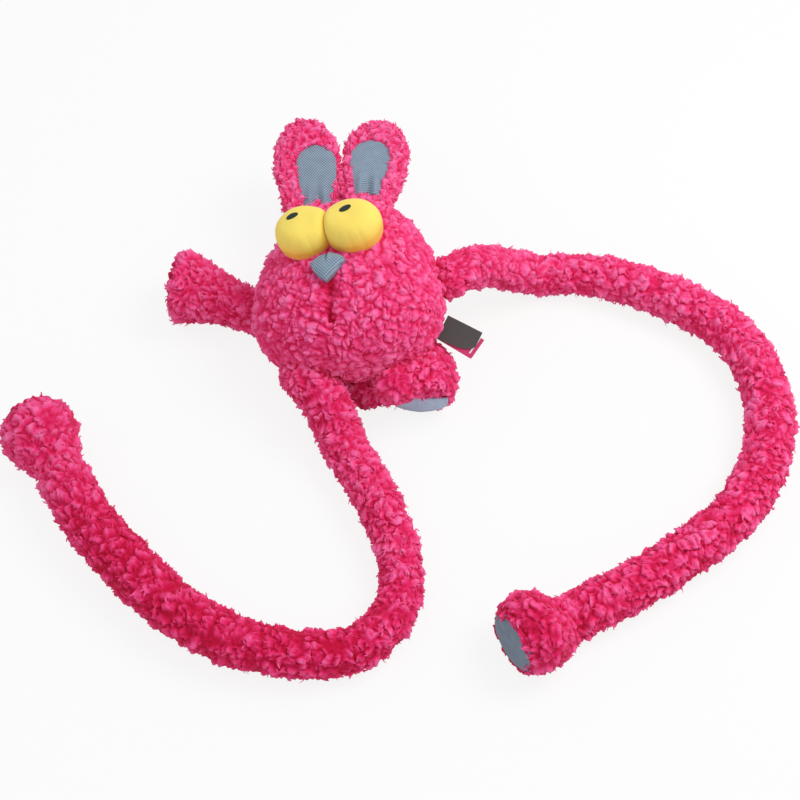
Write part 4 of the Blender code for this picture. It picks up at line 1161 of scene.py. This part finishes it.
def makeShortLeg():
    root = rootOf["short_leg"]
    heel = root + np.array((shortLeg["reach"], shortLeg["tuck"], 0))
    heel[2] = shortLeg["footRadius"] - floorCut
    way = wayAt(shortLeg["heading"], shortLeg["slope"])
    start = heel - way * shortLeg["footLength"] * shortLeg["heel"]
    end = start + way * shortLeg["footLength"]
    profile = np.array(((0, 0.5), *shortLeg["profile"]))

    def depthOf(points):
        # How far each point is outside the foot and the thigh, run together with a soft fillet.
        away = points - start
        along = away @ way
        across = away - along[..., None] * way
        across[..., 0] = np.where(across[..., 0] < 0, across[..., 0] / shortLeg["spread"], across[..., 0])
        girth = np.interp(along / shortLeg["footLength"], *profile.T) * shortLeg["footRadius"]
        ends = np.maximum(along - shortLeg["footLength"], -along)
        foot = np.maximum(np.linalg.norm(across, axis=-1) - girth, ends)
        fromRoot, thighLine = points - root, heel - root
        share = np.clip((fromRoot @ thighLine) / (thighLine @ thighLine), 0, 1)[..., None]
        fromThigh = np.linalg.norm(fromRoot - share * thighLine, axis=-1)
        thigh = fromThigh - shortLeg["radius"] * shortLeg["thigh"]
        fillet = shortLeg["fillet"]
        return -fillet * np.log(np.exp(-foot / fillet) + np.exp(-thigh / fillet))

    core = 0.3 * root + 0.7 * (0.45 * start + 0.55 * end)  # the skin is where each ray from here comes out
    axes = axesOf(way, up)
    polar = np.linspace(math.pi - 0.03, 0.03, shortLeg["rings"])[:, None, None]
    turns = turnsOf(shortLeg["sides"])[None, :, None]
    ways = np.cos(polar) * axes[0] + np.sin(polar) * (np.cos(turns) * axes[1] + np.sin(turns) * axes[2])
    steps = np.linspace(0.005, shortLeg["farthest"], 141)
    outside = np.stack([depthOf(core + ways * step) for step in steps]) > -0.0015
    rows = core + ways * steps[np.argmax(outside, 0)][..., None]
    padRadius = shortLeg["footRadius"] * pad["share"]
    furOnStub("short_leg", rows, shortLeg["seed"], end, way, padRadius, soleWeavePaintedLight, shortLeg["lid"])


makeShortArm()
makeShortLeg()

# The gathered plush between the two legs
gather = {
    "middle": (0.0400, -0.0560, 0.0165), "half": (0.0250, 0.0150, 0.0155), "nap": (0.3, -1.0, -0.2),
    "start": (0.030, -0.062, 0.02), "end": (0.062, -0.062, 0.02), "rings": 20, "sides": 28, "seed": 420,
}


def makeGather():
    polar, angle = np.linspace(0.05, math.pi - 0.05, gather["rings"])[:, None], turnsOf(gather["sides"])
    ball = np.stack((
        np.cos(polar) * np.ones_like(angle), np.sin(polar) * np.cos(angle), np.sin(polar) * np.sin(angle),
    ), -1)
    fine, _ = refine(np.array(gather["middle"]) + np.array(gather["half"]) * ball, limbCurls["face"])
    bare = np.zeros(fine.shape[0] * fine.shape[1])
    item = furPiece("short_leg_gather_plush", fine, gather["nap"], bare, gather["seed"], limbCurls)
    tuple(gather["start"])
    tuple(gather["end"])
    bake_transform(item)


makeGather()

# Ears
ear = {
    "length": 0.099, "width": 0.056, "thickness": 0.014, "flare": 5, "base": 0.62, "widest": 0.58,
    "squareness": 3, "fullness": 12, "cap": 0.0015, "tone": 0.08, "sides": 40, "rings": 18,
    "growEnd": (0.06, 0.42),  # where along it the extra width between the ears begins and ends to fade
    "blendBack": 0.006, "blendReach": 0.010,
}
lining = {
    "width": 0.62, "start": 0.09, "arch": 0.72, "end": 0.73, "taper": 0.84, "recess": 0.003,
    "standoff": 0.0016, "crown": 0.0010, "root": 0.0004, "pleatWidth": 0.0030, "pleatDepth": 0.0024,
    "foldAt": 0.0064, "foldWidth": 0.0032, "foldHeight": 0.0034,
}
# The pile ends at the slanting hem on the lining's base, and inner is how much wider an ear is inwards
earPair = {
    "left": {"side": -1, "tilt": 19, "shift": -0.27, "hem": 0.17, "slant": 0.10, "inner": 1.27, "seed": 500},
    "right": {"side": 1, "tilt": 1, "shift": 0.15, "hem": 0.09, "slant": 0.02, "inner": 1.19, "seed": 510},
}


def earHalfWidth(share):
    share = np.asarray(share, float)
    rise = ear["base"] + (1 - ear["base"]) * np.sin(math.pi / 2 * np.clip(share / ear["widest"], 0, 1))
    fall = np.clip((share - ear["widest"]) / (1 - ear["widest"]), 0, 1)
    return ear["width"] / 2 * np.where(share < ear["widest"], rise, np.sqrt(1 - fall**2))


def liningShare(along):
    return (along / ear["length"] - lining["start"]) / (lining["end"] - lining["start"])


def liningHalf(along):
    share = np.clip(liningShare(along), 0, 1)
    fall = np.clip((share - lining["arch"]) / (1 - lining["arch"]), 0, 1)
    taper = lining["taper"] + (1 - lining["taper"]) * smoothStep(share, 0.0, 0.6)
    return earHalfWidth(along / ear["length"]) * lining["width"] * taper * np.sqrt(1 - fall**2)


def liningOutline(shift):
    start, end = ear["length"] * lining["start"], ear["length"] * lining["end"]
    along = start + (end - start) * np.sin(math.pi / 2 * np.linspace(0, 1, 60))
    half, middle = liningHalf(along), earHalfWidth(along / ear["length"]) * shift
    right = np.stack((along, middle + half), -1)
    left = np.stack((along, middle - half), -1)[:-1][::-1]
    return resample(np.concatenate((right, left)), 144)


def earRows():
    half, angle = ear["thickness"] / 2, turnsOf(ear["sides"])
    across = signedPower(np.cos(angle), 2 / ear["squareness"])
    face = signedPower(np.sin(angle), 2 / ear["squareness"])
    stations = [(-half * math.cos(a), 0.0, math.sin(a)) for a in np.radians((5, 35, 65))]
    for a in np.linspace(0, math.pi / 2 * 0.995, ear["rings"]):
        share = math.sin(a)
        stations.append((ear["length"] * share, share, math.sqrt(1 - share ** ear["fullness"])))
    return np.array([
        np.stack((np.full(ear["sides"], along), earHalfWidth(share) * across, half * thin * face), -1)
        for along, share, thin in stations
    ])


def makeEar(name):
    own = earPair[name]
    root, side = jointAt[f"{name}_ear_fold"], own["side"]
    heading = 90 - side * ear["flare"]
    way = wayAt(heading, own["tilt"])
    axes = axesOf(way, wayAt(heading, own["tilt"] + 90))

    def insideLining(local):
        along, across, through = np.moveaxis(local, -1, 0)
        middle = earHalfWidth(np.clip(along / ear["length"], 0, 1)) * own["shift"]
        margin = liningHalf(along) - np.abs(across - middle)
        low = ear["length"] * (own["hem"] + own["slant"] * side * across / (ear["width"] / 2))
        ends = np.minimum(along - low, ear["length"] * lining["end"] - along)
        return np.where(through > 0, np.minimum(margin, ends), -1)

    coarse = earRows()
    held = 1.0 * (insideLining(coarse) > -0.001)
    held[:4] = 1
    fine, _ = refine(inflate(coarse, held, ear["cap"]), bodyCurls["face"])
    wider = 1 + (own["inner"] - 1) * (1 - smoothStep(fine[..., 0] / ear["length"], *ear["growEnd"]))
    fine[..., 1] *= np.where(side * fine[..., 1] > 0, wider, 1)
    fine[..., 2] -= lining["recess"] * smoothStep(insideLining(fine), -0.0005, 0.002)
    bare = smoothStep(insideLining(fine.reshape(-1, 3)), -0.0005, 0.0015)
    fur = furPiece(f"{name}_ear_plush", fine @ axes + root, way, bare, own["seed"], earCurls, ear["tone"])

    def onEar(flat, height):
        along, across = flat.T
        near = 1 - smoothStep(liningShare(along), 0.05, 0.55)
        sideways = across - earHalfWidth(along / ear["length"]) * own["shift"]
        pleat = lining["pleatDepth"] * bell(sideways, lining["pleatWidth"]) * near
        fold = lining["foldHeight"] * bell(np.abs(sideways) - lining["foldAt"], lining["foldWidth"]) * near
        puff = lining["standoff"] + lining["crown"] * height + fold - pleat
        rise = ear["thickness"] / 2 - lining["recess"] + np.where(height < 0, -lining["root"], puff)
        return np.stack((along, across, rise), -1) @ axes + root

    cloth = patchMesh(f"{name}_ear_lining_cloth", liningOutline(own["shift"]), onEar, 34, weave)
    start, end = root - way * ear["blendBack"], root + way * ear["blendReach"]
    for item, node, slotName, fill in (
        (fur, f"{name}_ear", "pink_plush", 0.5), (cloth, f"{name}_ear_lining", "blue_grey_weave", 0.3),
    ):
        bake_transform(item)
        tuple(start)
        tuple(end)
        declare(item, node, slotName, fill)


makeEar("left")
makeEar("right")
print("ears ready")

# Label: two plies of ribbon out of the side seam, left bare
label = {
    "width": 0.021, "ply": 0.0010, "gap": 0.0003, "heading": -18, "pitch": -11, "facing": 60, "taper": 0.0025,
    "sewn": 0.002, "stations": 40, "cornerStations": 14, "sides": 24, "sharp": 50,
    "sag": 0.0006, "crinkle": 0.0004, "crinkleSize": 0.012, "seed": 91,
    "blendBack": 0.001, "blendReach": 0.006,
}
plies = {
    "front": {
        "node": "label_front", "length": 0.029, "corner": 0.016, "rise": 0.0068, "side": 1, "turn": -6,
        "ribbon": frontRibbon, "slot": "dark_ribbon",
    },
    "back": {
        "node": "label_back", "length": 0.0318, "corner": 0.0010, "rise": 0.0010, "side": -1, "turn": -14,
        "ribbon": backRibbon, "slot": "pink_plush",
    },
}


def makeLabelPly(own):
    root = jointAt["label_flap"]
    way = wayAt(label["heading"], label["pitch"])
    axes = axesOf(way, wayAt(label["heading"] - 90, label["facing"]))
    straight = own["length"] - own["corner"]
    curve = np.linspace(0, math.pi / 2, label["cornerStations"])[1:]
    rounded = own["length"] - own["corner"] * (1 - np.sin(curve))
    stations = np.concatenate((np.linspace(-label["sewn"], straight, label["stations"]), rounded))
    half, thick = label["width"] / 2, label["ply"] / 2
    middle = own["side"] * (label["gap"] / 2 + thick)
    rows = []
    for along in stations:
        past = max(0, along - straight) / own["corner"]
        corner = own["rise"] * (1 - math.sqrt(max(0, 1 - past**2))) * 0.999
        low = -half + corner + label["taper"] * max(0, along) / own["length"]
        across = np.linspace(low, half, label["sides"])
        top, bottom = (
            np.column_stack((np.full(len(line), along), line, np.full(len(line), middle + lift)))
            for line, lift in ((across, thick), (across[::-1], -thick))
        )
        rows.append(np.concatenate((top, bottom)))
    ends = [0.5 * rows[index].mean(0) + 0.5 * rows[index] for index in (0, -1)]
    for end in ends:
        end[:, 2] = middle
    rows = [ends[0], *rows, ends[1]]
    flat = np.concatenate(rows)
    wave = label["sag"] * np.sin(flat[:, 0] / own["length"] * math.pi)
    wave += label["crinkle"] * noise(flat * (1, 1, 0), label["crinkleSize"], label["seed"])
    turn = wayAt(own["turn"], 0)
    turned = flat @ np.array((turn, (-turn[1], turn[0], 0), (0, 0, 1))) + wave[:, None] * up
    quads = gridQuads(len(rows), 2 * label["sides"])
    item = buildMesh(f"{own['node']}_ribbon", turned @ axes + root, quads, own["ribbon"], cloth=flat)
    item.data.set_sharp_from_angle(angle=math.radians(label["sharp"]))
    start, end = root - way * label["blendBack"], root + way * label["blendReach"]
    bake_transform(item)
    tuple(start)
    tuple(end)
    declare(item, own["node"], own["slot"])


makeLabelPly(plies["front"])
makeLabelPly(plies["back"])

# Inside: the stuffing, and the finishes of the squeaker, whose folded wall gets a mesh of its own
stuffing = {"outset": -0.0130, "lumps": 0.012, "lumpSize": 0.014, "seed": 77, "rings": 60, "sides": 96}
squeaker = {
    "base": milkyPlastic, "bellows": milkyPlastic, "cap": milkyPlastic, "reed": reedPlastic, "stroke": 0.009,
}


def makeStuffing():
    latitude = np.linspace(-1.56, 1.56, stuffing["rings"])[:, None]
    flat = bodyPoint(latitude, turnsOf(stuffing["sides"])[None], stuffing["outset"]).reshape(-1, 3)
    lumps = noise(flat, stuffing["lumpSize"], stuffing["seed"]) + 1
    flat = flat * (1 - stuffing["lumps"] * lumps)[:, None]
    quads = gridQuads(stuffing["rings"], stuffing["sides"])
    item = buildMesh("stuffing_fibres", toWorld(flat), quads, filling)
    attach(item, "torso")
    declare(item, "body_stuffing", "white_filling", 0.8)


def finishSqueaker():
    for part in ("base", "bellows", "cap", "reed"):
        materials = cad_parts[f"squeaker_{part}"].data.materials
        materials.clear()
        materials.append(squeaker[part])
    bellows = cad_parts["squeaker_bellows"]
    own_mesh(bellows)


makeStuffing()
finishSqueaker()
print("inside ready")

# Floor, light and camera
stage = {
    "floor": (0.86, 0.86, 0.86, 1), "half": 6, "glow": 0.85, "sky": 0.66, "backdrop": (0.97, 0.97, 0.97, 1),
    "white": (1, 1, 1, 1),
}
lamps = {
    "keyLamp": {"at": (0.80, 0.10, 1.15), "target": (0.08, -0.05, 0), "size": 0.7, "watts": 8.8},
    "fillLamp": {"at": (-1.1, -0.3, 1.3), "target": (0.05, -0.05, 0), "size": 1.2, "watts": 1},
}
view = {
    "target": (0.06519, -0.07654, 0.030), "distance": 1.06667, "elevation": 57, "lens": 60, "sensor": 36,
}


def addObject(name, data):
    made = bpy.data.objects.new(name, data)
    bpy.context.scene.collection.objects.link(made)
    return made


def makeFloor():
    mesh, half = bpy.data.meshes.new("floor"), stage["half"]
    corners = [(-half, -half, 0), (half, -half, 0), (half, half, 0), (-half, half, 0)]
    mesh.from_pydata(corners, [], [(0, 1, 2, 3)])
    addObject("floor", mesh)
    finish = Finish("paleFloor", Base_Color=stage["floor"], Roughness=0.9, Specular_IOR_Level=0.0)
    rays = finish.node("ShaderNodeLightPath", {}, {}).socket.node.outputs
    camera, glossy, through = (
        Wire(finish, rays[f"Is {kind} Ray"]) for kind in ("Camera", "Glossy", "Transmission")
    )
    seen = camera.maths("MAXIMUM", glossy.maths("MAXIMUM", through))
    white = finish.node("ShaderNodeEmission", {}, {"Color": stage["white"], "Strength": 1.0})
    shaded = Wire(finish, finish.shader.outputs[0])
    mixed = finish.node("ShaderNodeMixShader", {}, {0: seen * stage["glow"], 1: shaded, 2: white})
    finish.tree.links.new(mixed.socket, finish.tree.nodes["Material Output"].inputs["Surface"])
    mesh.materials.append(finish.material)


def makeSky():
    world = bpy.data.worlds.new("softStudio")
    bpy.context.scene.world = world
    world.use_nodes = True
    nodes, links = world.node_tree.nodes, world.node_tree.links
    sky = nodes["Background"]
    sky.inputs["Color"].default_value = stage["white"]
    sky.inputs["Strength"].default_value = stage["sky"]
    beyond, choice, rays = (
        nodes.new(kind) for kind in ("ShaderNodeBackground", "ShaderNodeMixShader", "ShaderNodeLightPath")
    )
    beyond.inputs["Color"].default_value = stage["backdrop"]
    for index, output in enumerate((rays.outputs["Is Camera Ray"], sky.outputs[0], beyond.outputs[0])):
        links.new(output, choice.inputs[index])
    links.new(choice.outputs[0], nodes["World Output"].inputs["Surface"])


def makeLamps():
    for name, lamp in lamps.items():
        light = bpy.data.lights.new(name, "AREA")
        light.size, light.energy = lamp["size"], lamp["watts"]
        item = addObject(name, light)
        item.location = lamp["at"]
        item.rotation_euler = (Vector(lamp["target"]) - item.location).to_track_quat("-Z", "Y").to_euler()


def makeCamera():
    data = bpy.data.cameras.new("photoCamera")
    data.lens, data.sensor_width = view["lens"], view["sensor"]
    camera = addObject("photoCamera", data)
    lift = math.radians(view["elevation"])
    camera.location = Vector(view["target"]) + view["distance"] * Vector((0, -math.cos(lift), math.sin(lift)))
    camera.rotation_euler = (math.pi / 2 - lift, 0, 0)
    bpy.context.scene.camera = camera


makeFloor()
makeSky()
makeLamps()
makeCamera()
bpy.context.scene.view_settings.view_transform = "Standard"
print("stage ready")
